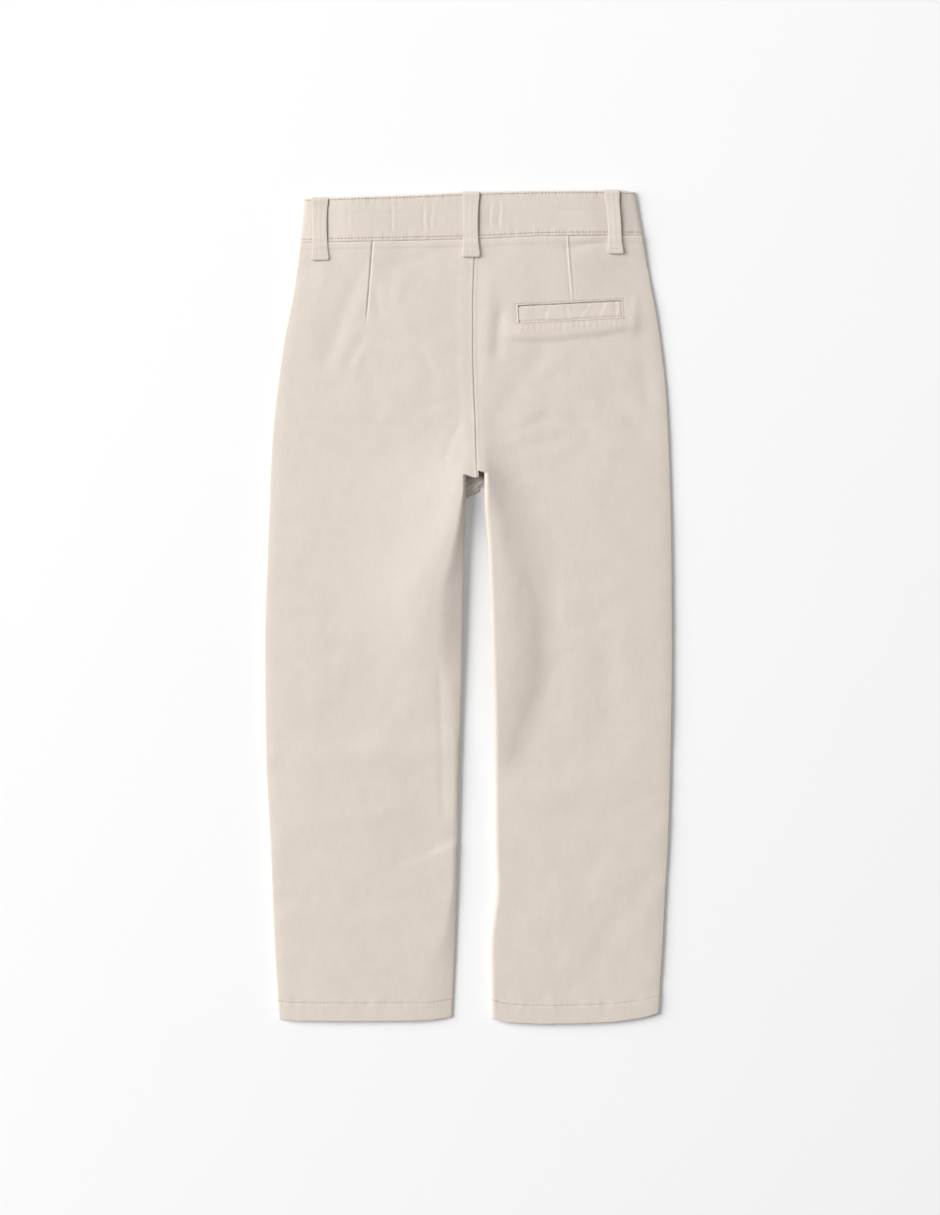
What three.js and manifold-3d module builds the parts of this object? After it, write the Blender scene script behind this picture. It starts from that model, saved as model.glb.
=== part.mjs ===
// A child's chino trousers, laid flat on a surface with the back upwards.
// Millimetres. +Z is up, +Y runs from the hems to the waist, and the wearer's left is at -X.
// Each cut piece is a closed wall: a grid of outer points, a grid of inner points and a rim.
import * as THREE from "three";
import { mergeVertices } from "three/addons/utils/BufferGeometryUtils.js";
import Module from "manifold-3d";

const wasm = await Module();
wasm.setup();
const { lerp, smoothstep, degToRad } = THREE.MathUtils;

// Walls and gaps.
const CLOTH = 1.5; // one layer of twill
const BAND_WALL = 2; // waistband, two layers and their interfacing
const STRAP_WALL = 1.4; // belt loop, folded in three
const SEAM_GAP = 0.3; // between the edges of two sewn pieces
const PART_GAP = 0.1; // between the upper and the leg solid of one cut piece

// Flattened tube of a leg and of the waist.
const SEAM_HEIGHT = 2.1; // top of the front's curled edge above its underside
const SIDE_ROLL = 10; // width over which the back falls to a side seam
const INSEAM_ROLL = 12; // the same along the inseam
const BACK_CROTCH = 114.5; // where the seat seam of the back ends
const FRONT_CROTCH = 98; // where the front's seam ends, lower down
const CROTCH_STEP = 2.5; // half the height over which an edge turns from seam to inseam
const HEM_DEPTH = 17; // turned-up hem
const HEM_STEP = 0.4; // its second layer: it shows outside on the back, inside on the front

// Waistband.
const BAND_BED = 2.2; // underside of the front waistband, which lies on its button and loops
const BAND_SEAM_HEIGHT = 2.6;
const BAND_CROWN = 9;
const BAND_ROLL = 7;
const BAND_EDGE_DROP = 0.6; // the folded top edge is a little thinner
const FRONT_DIP = 9; // the front waist is cut this much lower at its middle
const BAND_LAP = { under: 12, over: 14 }; // how far the two ends pass the centre front
const FLY_LAP = 6; // the left front over the right one
const FLY_END = 175;

// Row spacing and column counts of the grids.
const ROW_SPACING = 22;
const ROLL_STEPS = 3;
const BACK_COLUMNS = 12;
const FRONT_COLUMNS = 5;
const BAND_COLUMNS = 24;
const FRONT_BAND_COLUMNS = 10;

// Heights along the garment: crown is the top of the back, bed the underside of the front.
const HEIGHTS = [
  { y: 323, crown: 8.6, bed: 2.4 },
  { y: 298, crown: 8.4, bed: 2.3 },
  { y: 276, crown: 7.9, bed: 1.1 },
  { y: 250, crown: 6.6, bed: 0 },
  { y: 120, crown: 6.5, bed: 0 },
  { y: -120, crown: 6.5, bed: 0 },
  { y: -361, crown: 6, bed: 0 },
];

// Seam down the middle of the seat, from the waist to the crotch.
const SEAT_SEAM = [
  { y: 323, x: 6 },
  { y: 298, x: 4.4 },
  { y: 224, x: 3.6 },
  { y: 180, x: 5 },
  { y: 137, x: 7.2 },
  { y: 110, x: 9.8 },
  { y: 90, x: 10.5 },
];

// Outline of each leg: side is the side seam, and inseam the inner edge below the crotch.
const LEFT_OUTLINE = [
  { y: 323, side: -147, inseam: -2.2 },
  { y: 289, side: -151, inseam: -2.2 },
  { y: 224, side: -162.3, inseam: -2.2 },
  { y: 137, side: -171.8, inseam: -2.2 },
  { y: 93, side: -173.6, inseam: -2.2 },
  { y: 50, side: -175.3, inseam: -3.9 },
  { y: -37, side: -177.9, inseam: -5.6 },
  { y: -124, side: -177, inseam: -7.4 },
  { y: -211, side: -172.7, inseam: -9.1 },
  { y: -298, side: -169.2, inseam: -11.7 },
  { y: -361, side: -165, inseam: -14.4 },
];
const RIGHT_OUTLINE = [
  { y: 323, side: 151.6, inseam: 13.4 },
  { y: 289, side: 157.5, inseam: 13.4 },
  { y: 245, side: 165.7, inseam: 13.4 },
  { y: 180, side: 173, inseam: 13.4 },
  { y: 93, side: 176.6, inseam: 13.9 },
  { y: 50, side: 177.5, inseam: 16.9 },
  { y: -37, side: 177.9, inseam: 20.2 },
  { y: -124, side: 176.8, inseam: 22.2 },
  { y: -211, side: 174.2, inseam: 22.8 },
  { y: -240, side: 172.4, inseam: 23.9 },
  { y: -298, side: 169.6, inseam: 18.8 },
  { y: -361, side: 166, inseam: 19.8 },
];

// Waist seam and top edge of the back waistband, across the garment.
const WAIST = [
  { x: -147, seam: 317.2, top: 355.4 },
  { x: -60, seam: 318.8, top: 357.8 },
  { x: 5, seam: 320.2, top: 360.6 },
  { x: 75, seam: 323, top: 362 },
  { x: 125, seam: 323.5, top: 362.3 },
  { x: 152, seam: 323.6, top: 361 },
];
const BAND_LEFT = { seam: -147, top: -143.2 };
const BAND_RIGHT = { seam: 151.6, top: 145.2 };
const WAIST_ROW = 323; // nominal row of the waist seam
const WAIST_FADE = 200; // rows below this one are level

// Hem edge of each leg: across runs from the inseam, 0, to the side seam, 1.
const LEFT_HEM = [
  { across: 0, y: -357 },
  { across: 0.15, y: -360 },
  { across: 0.5, y: -360.6 },
  { across: 0.9, y: -360.4 },
  { across: 1, y: -358.6 },
];
const RIGHT_HEM = [
  { across: 0, y: -357.4 },
  { across: 0.09, y: -361.4 },
  { across: 0.33, y: -362.9 },
  { across: 0.66, y: -361.8 },
  { across: 0.9, y: -357.6 },
  { across: 1, y: -353.6 },
];
const HEM_ROW = -361; // nominal row of the hem edge
const HEM_FADE = -250; // rows above this one are level

// Soft folds, each along a line from (x0, y0) to (x1, y1). h0 and h1 are its heights at the two
// ends, and left and right its widths on the two sides of the line, seen from its start.
const FOLD_EDGE = 0.03; // share of the height below which a fold has run out
// These lift both layers off the surface, at the crotch and along the inner thighs.
const LIFTS = [
  { x0: 6, y0: 136, x1: -30, y1: -12, h0: 5, h1: 3, left: 14, right: 34 },
  { x0: 17, y0: 116, x1: 30, y1: 6, h0: 4, h1: 4.5, left: 12, right: 26 },
  { x0: 30, y0: 6, x1: 41, y1: -112, h0: 4, h1: 2, left: 12, right: 24 },
];
// These bend the back layer alone.
const FOLDS = [
  { x0: -111, y0: 272, x1: -129, y1: 226, h0: -1.1, h1: -0.8, left: 9, right: 9 },
  { x0: -98, y0: 262, x1: -113, y1: 214, h0: 0.4, h1: 0.4, left: 10, right: 10 },
  { x0: -8, y0: -206, x1: -62, y1: -234, h0: 0.5, h1: 0.3, left: 7, right: 5 },
  { x0: 155, y0: -244, x1: 118, y1: -290, h0: -1.4, h1: -0.8, left: 12, right: 12 },
  { x0: -150, y0: -290, x1: -172, y1: -262, h0: -0.9, h1: -0.9, left: 9, right: 9 },
  { x0: 26, y0: 274, x1: 24, y1: 240, h0: -1, h1: -1, left: 6, right: 6 },
  { x0: 28, y0: 232, x1: 132, y1: 242, h0: -1, h1: -0.8, left: 6, right: 9 },
];

// Belt loops: x at the waistband's top and at the foot, and the foot's height.
const BACK_LOOPS = [
  { name: "belt_loop_back_left", xTop: -129.5, xFoot: -129.3, yFoot: 301.4 },
  { name: "belt_loop_back_centre", xTop: 1.8, xFoot: 1.8, yFoot: 304 },
  { name: "belt_loop_back_right", xTop: 125.3, xFoot: 128.3, yFoot: 307.1 },
];
const FRONT_LOOPS = [
  { name: "belt_loop_front_left", xTop: -78, xFoot: -78, yFoot: 297 },
  { name: "belt_loop_front_right", xTop: 86, xFoot: 86, yFoot: 299 },
];
// A loop from its top end, 0, to its foot, 1: clear of the cloth, thickness and width.
const LOOP_SHAPE = [
  { along: 0, clear: 0.3, thick: 1.7, width: 12.6 },
  { along: 0.08, clear: 0.3, thick: 1.7, width: 12.6 },
  { along: 0.16, clear: 0.7, thick: STRAP_WALL, width: 12.4 },
  { along: 0.45, clear: 1.1, thick: STRAP_WALL, width: 12 },
  { along: 0.75, clear: 0.9, thick: STRAP_WALL, width: 12.2 },
  { along: 0.87, clear: 0.4, thick: 1.7, width: 12.8 },
  { along: 0.93, clear: 0.3, thick: 2, width: 13.6 },
  { along: 1, clear: 0.3, thick: 2, width: 13.2 },
];
const LOOP_OVERHANG = 0.8; // above the waistband's top edge
const FRONT_LOOP_CLEAR = 0.4; // share of the back's standing height, pressed by the surface
const FRONT_LOOP_THICK = 0.85; // and share of its thickness

// Welt pocket on the right back, set in a window of the panel.
const WELT = { x: 88, y: 257.2, length: 91, height: 14.2, tilt: 3.1, recess: 0.4 };

// Darts, from the waist seam down.
const DARTS = {
  left: { x0: -83.6, y0: 320, x1: -87.8, y1: 262 },
  right: { x0: 86.1, y0: 323, x1: 90.4, y1: 265.5 },
};
const DART_WIDTH = 0.8;
const DART_DEPTH = 0.6;

// Waist button, sewn to the left end of the front waistband.
const BUTTON = { radius: 7.5, thick: 1.6, bevel: 0.15, hole: 0.9, pitch: 1.9, beyond: 1 };

// Colours.
const TWILL = { color: 0xdfd4c6, roughness: 0.92, metalness: 0 };
const TWILL_FRONT = { color: 0xdbd0c1, roughness: 0.92, metalness: 0 };
const HORN = { color: 0xcdbfa9, roughness: 0.45, metalness: 0 };

// A smooth curve through one column of a table that never overshoots its rows.
function through(rows, column, against = "y") {
  const sorted = [...rows].sort((a, b) => a[against] - b[against]);
  const at = sorted.map((row) => row[against]);
  const value = sorted.map((row) => row[column]);
  const slope = at.slice(1).map((a, i) => (value[i + 1] - value[i]) / (a - at[i]));
  const tangent = at.map((_, i) => {
    const before = slope[i - 1] ?? slope[i];
    const after = slope[i] ?? slope[i - 1];
    return before * after <= 0 ? 0 : (2 * before * after) / (before + after);
  });
  return (where) => {
    const a = Math.min(Math.max(where, at[0]), at.at(-1));
    const i = Math.min(Math.max(at.findIndex((t) => t >= a) - 1, 0), at.length - 2);
    const span = at[i + 1] - at[i];
    const t = (a - at[i]) / span;
    const start = value[i] * (1 + 2 * t) + tangent[i] * span * t;
    const end = value[i + 1] * (3 - 2 * t) - tangent[i + 1] * span * (1 - t);
    return start * (1 - t) ** 2 + end * t ** 2;
  };
}

const crown = through(HEIGHTS, "crown");
const bed = through(HEIGHTS, "bed");
const seatSeam = through(SEAT_SEAM, "x");
const waistSeam = through(WAIST, "seam", "x");
const waistTop = through(WAIST, "top", "x");

// One leg's edges. hand is -1 for the wearer's left and 1 for the right.
function leg(hand, outline, hem) {
  const inseam = through(outline, "inseam");
  const edgeAt = (crotch) => (y) => {
    const seam = seatSeam(y) + (hand * SEAM_GAP) / 2;
    return lerp(inseam(y), seam, smoothstep(y, crotch - CROTCH_STEP, crotch + CROTCH_STEP));
  };
  return {
    hand,
    side: through(outline, "side"),
    backEdge: edgeAt(BACK_CROTCH),
    frontEdge: edgeAt(FRONT_CROTCH),
    hem: through(hem, "y", "across"),
  };
}

const LEFT = leg(-1, LEFT_OUTLINE, LEFT_HEM);
const RIGHT = leg(1, RIGHT_OUTLINE, RIGHT_HEM);

// 0 on the flat seam above the crotch, 1 on the rolled inseam below it.
function joinAt(crotch, y) {
  return 1 - smoothstep(y, crotch - 2 * CROTCH_STEP, crotch + 2 * CROTCH_STEP);
}

// Height that a list of folds gives at a point.
function foldHeight(folds, x, y) {
  let height = 0;
  for (const fold of folds) {
    const dx = fold.x1 - fold.x0;
    const dy = fold.y1 - fold.y0;
    const length = Math.hypot(dx, dy);
    const along = ((x - fold.x0) * dx + (y - fold.y0) * dy) / length;
    const beside = ((x - fold.x0) * dy - (y - fold.y0) * dx) / length;
    const beyond = along - THREE.MathUtils.clamp(along, 0, length);
    const width = beside > 0 ? fold.right : fold.left;
    const near = Math.exp(-((beside / width) ** 2) - (beyond / (2 * fold.left)) ** 2);
    const share = Math.max(0, near - FOLD_EDGE) / (1 - FOLD_EDGE);
    height += share * lerp(fold.h0, fold.h1, (along - beyond) / length);
  }
  return height;
}

// Rise of a rolled edge, as a share, at a distance in from it, and the way its face looks.
function rolled(distance, roll, join) {
  const cos = Math.max(0, 1 - distance / roll);
  const sin = Math.sqrt(1 - cos * cos);
  return { up: 1 - join * (1 - sin), across: join * cos, upward: Math.max(sin, 1 - join) };
}

// Height of an upper layer between two rolled edges, and its normal in the section.
function archAt(x, low, high, seamHeight, crownHeight) {
  const rise = crownHeight - seamHeight;
  const fromLow = rolled(x - low.x, low.roll, low.join);
  const fromHigh = rolled(high.x - x, high.roll, high.join);
  const [edge, end, way] =
    fromLow.up < fromHigh.up || fromLow.across > fromHigh.across
      ? [fromLow, low, -1]
      : [fromHigh, high, 1];
  const normal = new THREE.Vector2(way * rise * edge.across, end.roll * edge.upward);
  return { up: edge.up, z: seamHeight + rise * edge.up, normal: normal.normalize() };
}

// Places across a section: close together on the rolled edges, even between them.
function placesAcross(low, high, columns) {
  const places = [];
  for (let i = 0; i < ROLL_STEPS; i++) {
    places.push(low.x + low.roll * (1 - Math.cos((i / ROLL_STEPS) * (Math.PI / 2))));
  }
  for (let i = 0; i <= columns; i++) {
    places.push(lerp(low.x + low.roll, high.x - high.roll, i / columns));
  }
  for (let i = ROLL_STEPS - 1; i >= 0; i--) {
    places.push(high.x - high.roll * (1 - Math.cos((i / ROLL_STEPS) * (Math.PI / 2))));
  }
  return places;
}

// The rows at which every panel is cut into sections, close together where the outline turns.
function rowsOf() {
  const marks = [WAIST_ROW, BACK_CROTCH + 8, BACK_CROTCH + 2 * CROTCH_STEP];
  for (const crotch of [BACK_CROTCH, FRONT_CROTCH]) {
    marks.push(crotch + CROTCH_STEP, crotch, crotch - CROTCH_STEP);
  }
  marks.push(FRONT_CROTCH - 2 * CROTCH_STEP, HEM_ROW + HEM_DEPTH + 1);
  marks.push(HEM_ROW + HEM_DEPTH - 1, HEM_ROW);
  const rows = [marks[0]];
  for (let i = 1; i < marks.length; i++) {
    const parts = Math.ceil((marks[i - 1] - marks[i]) / ROW_SPACING);
    for (let k = 1; k <= parts; k++) rows.push(lerp(marks[i - 1], marks[i], k / parts));
  }
  return rows;
}

const ROWS = rowsOf();

// The front waist is lower than the back by this much.
function frontDip(x) {
  const share = (x - seatSeam(WAIST_ROW)) / BAND_RIGHT.seam;
  return FRONT_DIP * Math.max(0, 1 - share * share);
}

// A nominal row bent to meet the waist seam above and the hem edge below.
function bentRow(side, x, y, across, dip) {
  const waist = waistSeam(x) - SEAM_GAP / 2 - dip - WAIST_ROW;
  const hem = side.hem(across) - HEM_ROW;
  return (
    y +
    waist * smoothstep(y, WAIST_FADE, WAIST_ROW) +
    hem * (1 - smoothstep(y, HEM_ROW, HEM_FADE))
  );
}

function hemStep(y) {
  return HEM_STEP * (1 - smoothstep(y, HEM_ROW + HEM_DEPTH - 1, HEM_ROW + HEM_DEPTH + 1));
}

// The back's two rolled edges at a row, from low x to high x.
function backEdges(side, y) {
  const inner = {
    x: side.backEdge(y),
    roll: INSEAM_ROLL,
    join: joinAt(BACK_CROTCH, y),
  };
  const outer = { x: side.side(y), roll: SIDE_ROLL, join: 1 };
  return side.hand < 0 ? [outer, inner] : [inner, outer];
}

// Top of the back at a point, with its normal in the section.
function backTop(side, x, y) {
  const [low, high] = backEdges(side, y);
  const arch = archAt(x, low, high, bed(y) + SEAM_HEIGHT + SEAM_GAP, crown(y));
  arch.z += foldHeight(LIFTS, x, y) + arch.up * (foldHeight(FOLDS, x, y) + hemStep(y));
  return arch;
}

// Underside of the front at a point: the same curl the other way up.
function frontUnder(side, x, y, low, high) {
  const arch = archAt(x, low, high, -(bed(y) + SEAM_HEIGHT), -bed(y));
  const overlap = side.hand > 0 ? flyRaise(x, y) : 0;
  arch.z = -arch.z + foldHeight(LIFTS, x, y) + overlap;
  arch.normal.y *= -1;
  return arch;
}

// The right front lies inside the left one along the fly.
function flyRaise(x, y) {
  const beyond = x - seatSeam(y);
  const raise = (CLOTH + SEAM_GAP) * (1 - smoothstep(beyond, FLY_LAP + 2, FLY_LAP + 14));
  return raise * smoothstep(y, FLY_END - 2 * ROW_SPACING, FLY_END - ROW_SPACING);
}

// Closes two grids of points, with the same rows and columns, into one wall that faces out.
function wall(outer, inner) {
  const rows = outer.length;
  const columns = outer[0].length;
  const points = [...outer.flat(), ...inner.flat()];
  const faces = [];
  const out = (r, c) => r * columns + c;
  const back = (r, c) => (rows + r) * columns + c;
  const quad = (a, b, c, d) => faces.push(a, b, c, a, c, d);
  for (let r = 0; r < rows - 1; r++) {
    for (let c = 0; c < columns - 1; c++) {
      quad(out(r, c), out(r, c + 1), out(r + 1, c + 1), out(r + 1, c));
      quad(back(r, c), back(r + 1, c), back(r + 1, c + 1), back(r, c + 1));
    }
    const last = columns - 1;
    quad(out(r, 0), out(r + 1, 0), back(r + 1, 0), back(r, 0));
    quad(out(r + 1, last), out(r, last), back(r, last), back(r + 1, last));
  }
  for (let c = 0; c < columns - 1; c++) {
    const last = rows - 1;
    quad(out(0, c + 1), out(0, c), back(0, c), back(0, c + 1));
    quad(out(last, c), out(last, c + 1), back(last, c + 1), back(last, c));
  }
  let volume = 0;
  for (let i = 0; i < faces.length; i += 3) {
    const [a, b, c] = faces.slice(i, i + 3).map((index) => points[index]);
    volume += a.dot(new THREE.Vector3().crossVectors(b, c));
  }
  if (volume < 0) faces.reverse();
  const geometry = new THREE.BufferGeometry().setFromPoints(points);
  return geometry.setIndex(faces);
}

// A wall laid row by row: shape gives the outer point, its normal in the section and the wall.
function laidWall(rows, placesOf, shape) {
  const outer = [];
  const inner = [];
  for (const row of rows) {
    const places = placesOf(row).map((x, column, all) => {
      return shape(x, row, column / (all.length - 1));
    });
    outer.push(places.map((p) => p.point));
    inner.push(
      places.map(({ point, normal, thick }) => {
        const inward = new THREE.Vector3(-normal.x * thick, 0, -normal.y * thick);
        return point.clone().add(inward);
      }),
    );
  }
  return wall(outer, inner);
}

// The share of the way from the inseam to the side seam.
function fromInseam(side, share) {
  return side.hand < 0 ? 1 - share : share;
}

// A cut piece is two solids, parted just below its crotch, so that each is nearly convex in plan
// and the space between the legs stays open in the collision shape.
function upperRows(crotch) {
  return ROWS.filter((y) => y >= crotch - CROTCH_STEP);
}

function legRows(crotch) {
  const parting = crotch - CROTCH_STEP;
  return [parting - PART_GAP, ...ROWS.filter((y) => y < parting - 1)];
}

function backPanel(side, rows) {
  return laidWall(
    rows,
    (y) => placesAcross(...backEdges(side, y), BACK_COLUMNS),
    (x, y, share) => {
      const { z, normal } = backTop(side, x, y);
      const along = bentRow(side, x, y, fromInseam(side, share), 0);
      return { point: new THREE.Vector3(x, along, z), normal, thick: CLOTH + hemStep(y) };
    },
  );
}

function frontPanel(side, rows) {
  const edges = (y) => {
    const lap = side.hand < 0 ? FLY_LAP * smoothstep(y, FLY_END, FLY_END + 20) : 0;
    const inner = {
      x: side.frontEdge(y) + lap,
      roll: SEAM_HEIGHT,
      join: joinAt(FRONT_CROTCH, y),
    };
    const outer = { x: side.side(y), roll: SEAM_HEIGHT, join: 1 };
    return side.hand < 0 ? [outer, inner] : [inner, outer];
  };
  return laidWall(
    rows,
    (y) => placesAcross(...edges(y), FRONT_COLUMNS),
    (x, y, share) => {
      const { z, normal } = frontUnder(side, x, y, ...edges(y));
      const along = bentRow(side, x, y, fromInseam(side, share), frontDip(x));
      return { point: new THREE.Vector3(x, along, z), normal, thick: CLOTH + hemStep(y) };
    },
  );
}

// The waistband's sides at a share of its height, from the seam, 0, to the top edge, 1.
function bandEdges(share) {
  return [BAND_LEFT, BAND_RIGHT].map((side) => {
    return { x: lerp(side.seam, side.top, share), roll: BAND_ROLL, join: 1 };
  });
}

function bandRow(x, share, dip) {
  return lerp(waistSeam(x) + SEAM_GAP / 2, waistTop(x), share) - dip;
}

// Top of the back waistband at a point.
function bandTop(x, share) {
  const [low, high] = bandEdges(share);
  const seamHeight = BAND_BED + BAND_SEAM_HEIGHT + SEAM_GAP;
  return archAt(x, low, high, seamHeight, BAND_CROWN);
}

const BAND_SHARES = [0, 0.3, 0.65, 0.94, 1];

function topEdgeDrop(share) {
  return BAND_EDGE_DROP * smoothstep(share, BAND_SHARES[3], 1);
}

function backBand() {
  return laidWall(
    BAND_SHARES,
    (share) => placesAcross(...bandEdges(share), BAND_COLUMNS),
    (x, share) => {
      const { up, z, normal } = bandTop(x, share);
      const drop = topEdgeDrop(share) * up;
      const point = new THREE.Vector3(x, bandRow(x, share, 0), z - drop);
      return { point, normal, thick: BAND_WALL - drop };
    },
  );
}

// Half of the front waistband. The left end laps over the outside of the right end.
function frontBand(hand) {
  const middle = seatSeam(WAIST_ROW);
  const curl = BAND_SEAM_HEIGHT;
  const edges = (share) => {
    const [low, high] = bandEdges(share).map((edge) => ({ ...edge, roll: curl }));
    return hand < 0
      ? [low, { x: middle + BAND_LAP.over, roll: curl, join: 0 }]
      : [{ x: middle - BAND_LAP.under, roll: curl, join: 0 }, high];
  };
  const raise = (x) => {
    const lapEnd = middle + BAND_LAP.over + 1;
    const height = BAND_WALL + SEAM_GAP;
    return hand < 0 ? 0 : height * (1 - smoothstep(x, lapEnd, lapEnd + 20));
  };
  return laidWall(
    BAND_SHARES,
    (share) => placesAcross(...edges(share), FRONT_BAND_COLUMNS),
    (x, share) => {
      const arch = archAt(x, ...edges(share), -(BAND_BED + curl), -BAND_BED);
      const normal = new THREE.Vector2(arch.normal.x, -arch.normal.y);
      const z = raise(x) - arch.z;
      const point = new THREE.Vector3(x, bandRow(x, share, frontDip(x)), z);
      return { point, normal, thick: BAND_WALL };
    },
  );
}

// A belt loop from its shape table. cloth gives the height of what it lies on, and way is 1 on
// the back and -1 under the front.
function beltLoop(loop, dip, cloth, way) {
  const columns = 2;
  const clear = through(LOOP_SHAPE, "clear", "along");
  const thick = through(LOOP_SHAPE, "thick", "along");
  const width = through(LOOP_SHAPE, "width", "along");
  const pressed = way < 0 ? FRONT_LOOP_CLEAR : 1;
  const slimmed = way < 0 ? FRONT_LOOP_THICK : 1;
  const outer = [];
  const inner = [];
  for (const { along } of LOOP_SHAPE) {
    const middle = lerp(loop.xTop, loop.xFoot, along);
    const y = lerp(waistTop(middle) - dip(middle) + LOOP_OVERHANG, loop.yFoot, along);
    const above = [];
    const below = [];
    for (let c = 0; c <= columns; c++) {
      const x = middle + width(along) * (c / columns - 0.5);
      const gap = Math.max(SEAM_GAP, clear(along) * pressed);
      const start = cloth(x, Math.min(y, waistTop(x) - dip(x))) + way * gap;
      below.push(new THREE.Vector3(x, y, start));
      above.push(new THREE.Vector3(x, y, start + way * thick(along) * slimmed));
    }
    outer.push(above);
    inner.push(below);
  }
  return wall(outer, inner);
}

// Height of the top of the back at any point, waistband included.
function upperCloth(x, y) {
  const seam = waistSeam(x);
  if (y > seam) return bandTop(x, (y - seam) / (waistTop(x) - seam)).z;
  const side = x < seatSeam(y) ? LEFT : RIGHT;
  const panel = backTop(side, x, y).z;
  // The strap bridges the small step at the waist seam.
  return Math.max(panel, lerp(panel, bandTop(x, 0).z, smoothstep(y, seam - 4, seam)));
}

// Height of the underside of the front near the waist.
function lowerCloth(x, y) {
  const seam = waistSeam(x) - frontDip(x);
  return y > seam ? BAND_BED : Math.min(BAND_BED, bed(y + frontDip(x)));
}

function solidOf(geometry) {
  const bare = new THREE.BufferGeometry();
  bare.setAttribute("position", geometry.getAttribute("position"));
  bare.setIndex(geometry.index);
  const merged = mergeVertices(bare, 1e-4);
  return new wasm.Manifold(
    new wasm.Mesh({
      numProp: 3,
      vertProperties: merged.getAttribute("position").array,
      triVerts: new Uint32Array(merged.index.array),
    }),
  );
}

function geometryOf(solid) {
  const mesh = solid.getMesh();
  const geometry = new THREE.BufferGeometry();
  geometry.setAttribute("position", new THREE.BufferAttribute(mesh.vertProperties, 3));
  return geometry.setIndex(new THREE.BufferAttribute(mesh.triVerts, 1));
}

// A strip that follows the top of a back panel, between two depths below it, in the strip's own
// frame: u runs along it and v across it.
function stripOnBack(side, place, uSteps, vSteps, top, bottom) {
  const outer = [];
  const inner = [];
  for (let i = 0; i <= uSteps; i++) {
    const points = [];
    for (let k = 0; k <= vSteps; k++) points.push(place(i / uSteps, k / vSteps));
    const lay = (depth) => {
      return points.map(({ x, y }) => new THREE.Vector3(x, y, backTop(side, x, y).z - depth));
    };
    outer.push(lay(top));
    inner.push(lay(bottom));
  }
  return wall(outer, inner);
}

// A dart is sewn inside, so a narrow groove shows on the outside.
function dartGroove(side, dart) {
  const length = Math.hypot(dart.x1 - dart.x0, dart.y1 - dart.y0);
  const across = new THREE.Vector2(dart.y0 - dart.y1, dart.x1 - dart.x0).divideScalar(length);
  const place = (u, v) => {
    const offset = DART_WIDTH * (v - 0.5) * (1 - 0.5 * u);
    return {
      x: lerp(dart.x0, dart.x1, u) + across.x * offset,
      y: lerp(dart.y0, dart.y1, u) + across.y * offset,
    };
  };
  return stripOnBack(side, place, 6, 1, -1, DART_DEPTH);
}

// A rectangle set at the welt's tilt, larger than the welt by a margin on every side.
function weltPlace(margin) {
  const tilt = degToRad(WELT.tilt);
  return (u, v) => {
    const along = (u - 0.5) * (WELT.length + 2 * margin);
    const up = (v - 0.5) * (WELT.height + 2 * margin);
    return {
      x: WELT.x + along * Math.cos(tilt) - up * Math.sin(tilt),
      y: WELT.y + along * Math.sin(tilt) + up * Math.cos(tilt),
    };
  };
}

function leftSeat() {
  const seat = solidOf(backPanel(LEFT, upperRows(BACK_CROTCH)));
  const groove = solidOf(dartGroove(LEFT, DARTS.left));
  return geometryOf(seat.subtract(groove));
}

function rightSeat() {
  const seat = solidOf(backPanel(RIGHT, upperRows(BACK_CROTCH)));
  const groove = solidOf(dartGroove(RIGHT, DARTS.right));
  const window = solidOf(stripOnBack(RIGHT, weltPlace(SEAM_GAP), 8, 1, -2, CLOTH + 1));
  return geometryOf(seat.subtract(groove).subtract(window));
}

function pocketWelt() {
  return stripOnBack(RIGHT, weltPlace(0), 12, 3, WELT.recess, WELT.recess + CLOTH);
}

function button() {
  const disc = new THREE.Shape().absarc(0, 0, BUTTON.radius, 0, 2 * Math.PI);
  for (let i = 0; i < 4; i++) {
    const angle = Math.PI / 4 + (i * Math.PI) / 2;
    const [x, y] = [Math.cos(angle) * BUTTON.pitch, Math.sin(angle) * BUTTON.pitch];
    disc.holes.push(new THREE.Path().absarc(x, y, BUTTON.hole, 0, 2 * Math.PI, true));
  }
  return new THREE.ExtrudeGeometry(disc, {
    depth: BUTTON.thick,
    curveSegments: 6,
    bevelSize: BUTTON.bevel,
    bevelThickness: BUTTON.bevel,
    bevelSegments: 1,
  });
}

const garment = new THREE.Group();

function add(name, geometry, finish) {
  const mesh = new THREE.Mesh(geometry, new THREE.MeshStandardMaterial(finish));
  mesh.name = name;
  garment.add(mesh);
  return mesh;
}

add("back_panel_left", leftSeat(), TWILL);
add("back_panel_left_leg", backPanel(LEFT, legRows(BACK_CROTCH)), TWILL);
add("back_panel_right", rightSeat(), TWILL);
add("back_panel_right_leg", backPanel(RIGHT, legRows(BACK_CROTCH)), TWILL);
add("pocket_welt", pocketWelt(), TWILL);
add("front_panel_left", frontPanel(LEFT, upperRows(FRONT_CROTCH)), TWILL_FRONT);
add("front_panel_left_leg", frontPanel(LEFT, legRows(FRONT_CROTCH)), TWILL_FRONT);
add("front_panel_right", frontPanel(RIGHT, upperRows(FRONT_CROTCH)), TWILL_FRONT);
add("front_panel_right_leg", frontPanel(RIGHT, legRows(FRONT_CROTCH)), TWILL_FRONT);
add("waistband_back", backBand(), TWILL);
add("waistband_front_left", frontBand(-1), TWILL_FRONT);
add("waistband_front_right", frontBand(1), TWILL_FRONT);
for (const loop of BACK_LOOPS) {
  add(loop.name, beltLoop(loop, () => 0, upperCloth, 1), TWILL);
}
for (const loop of FRONT_LOOPS) {
  add(loop.name, beltLoop(loop, frontDip, lowerCloth, -1), TWILL_FRONT);
}
const buttonX = seatSeam(WAIST_ROW) + BUTTON.beyond;
add("waist_button", button(), HORN).position.set(
  buttonX,
  bandRow(buttonX, 0.5, frontDip(buttonX)),
  BUTTON.bevel,
);

export default garment;
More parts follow.
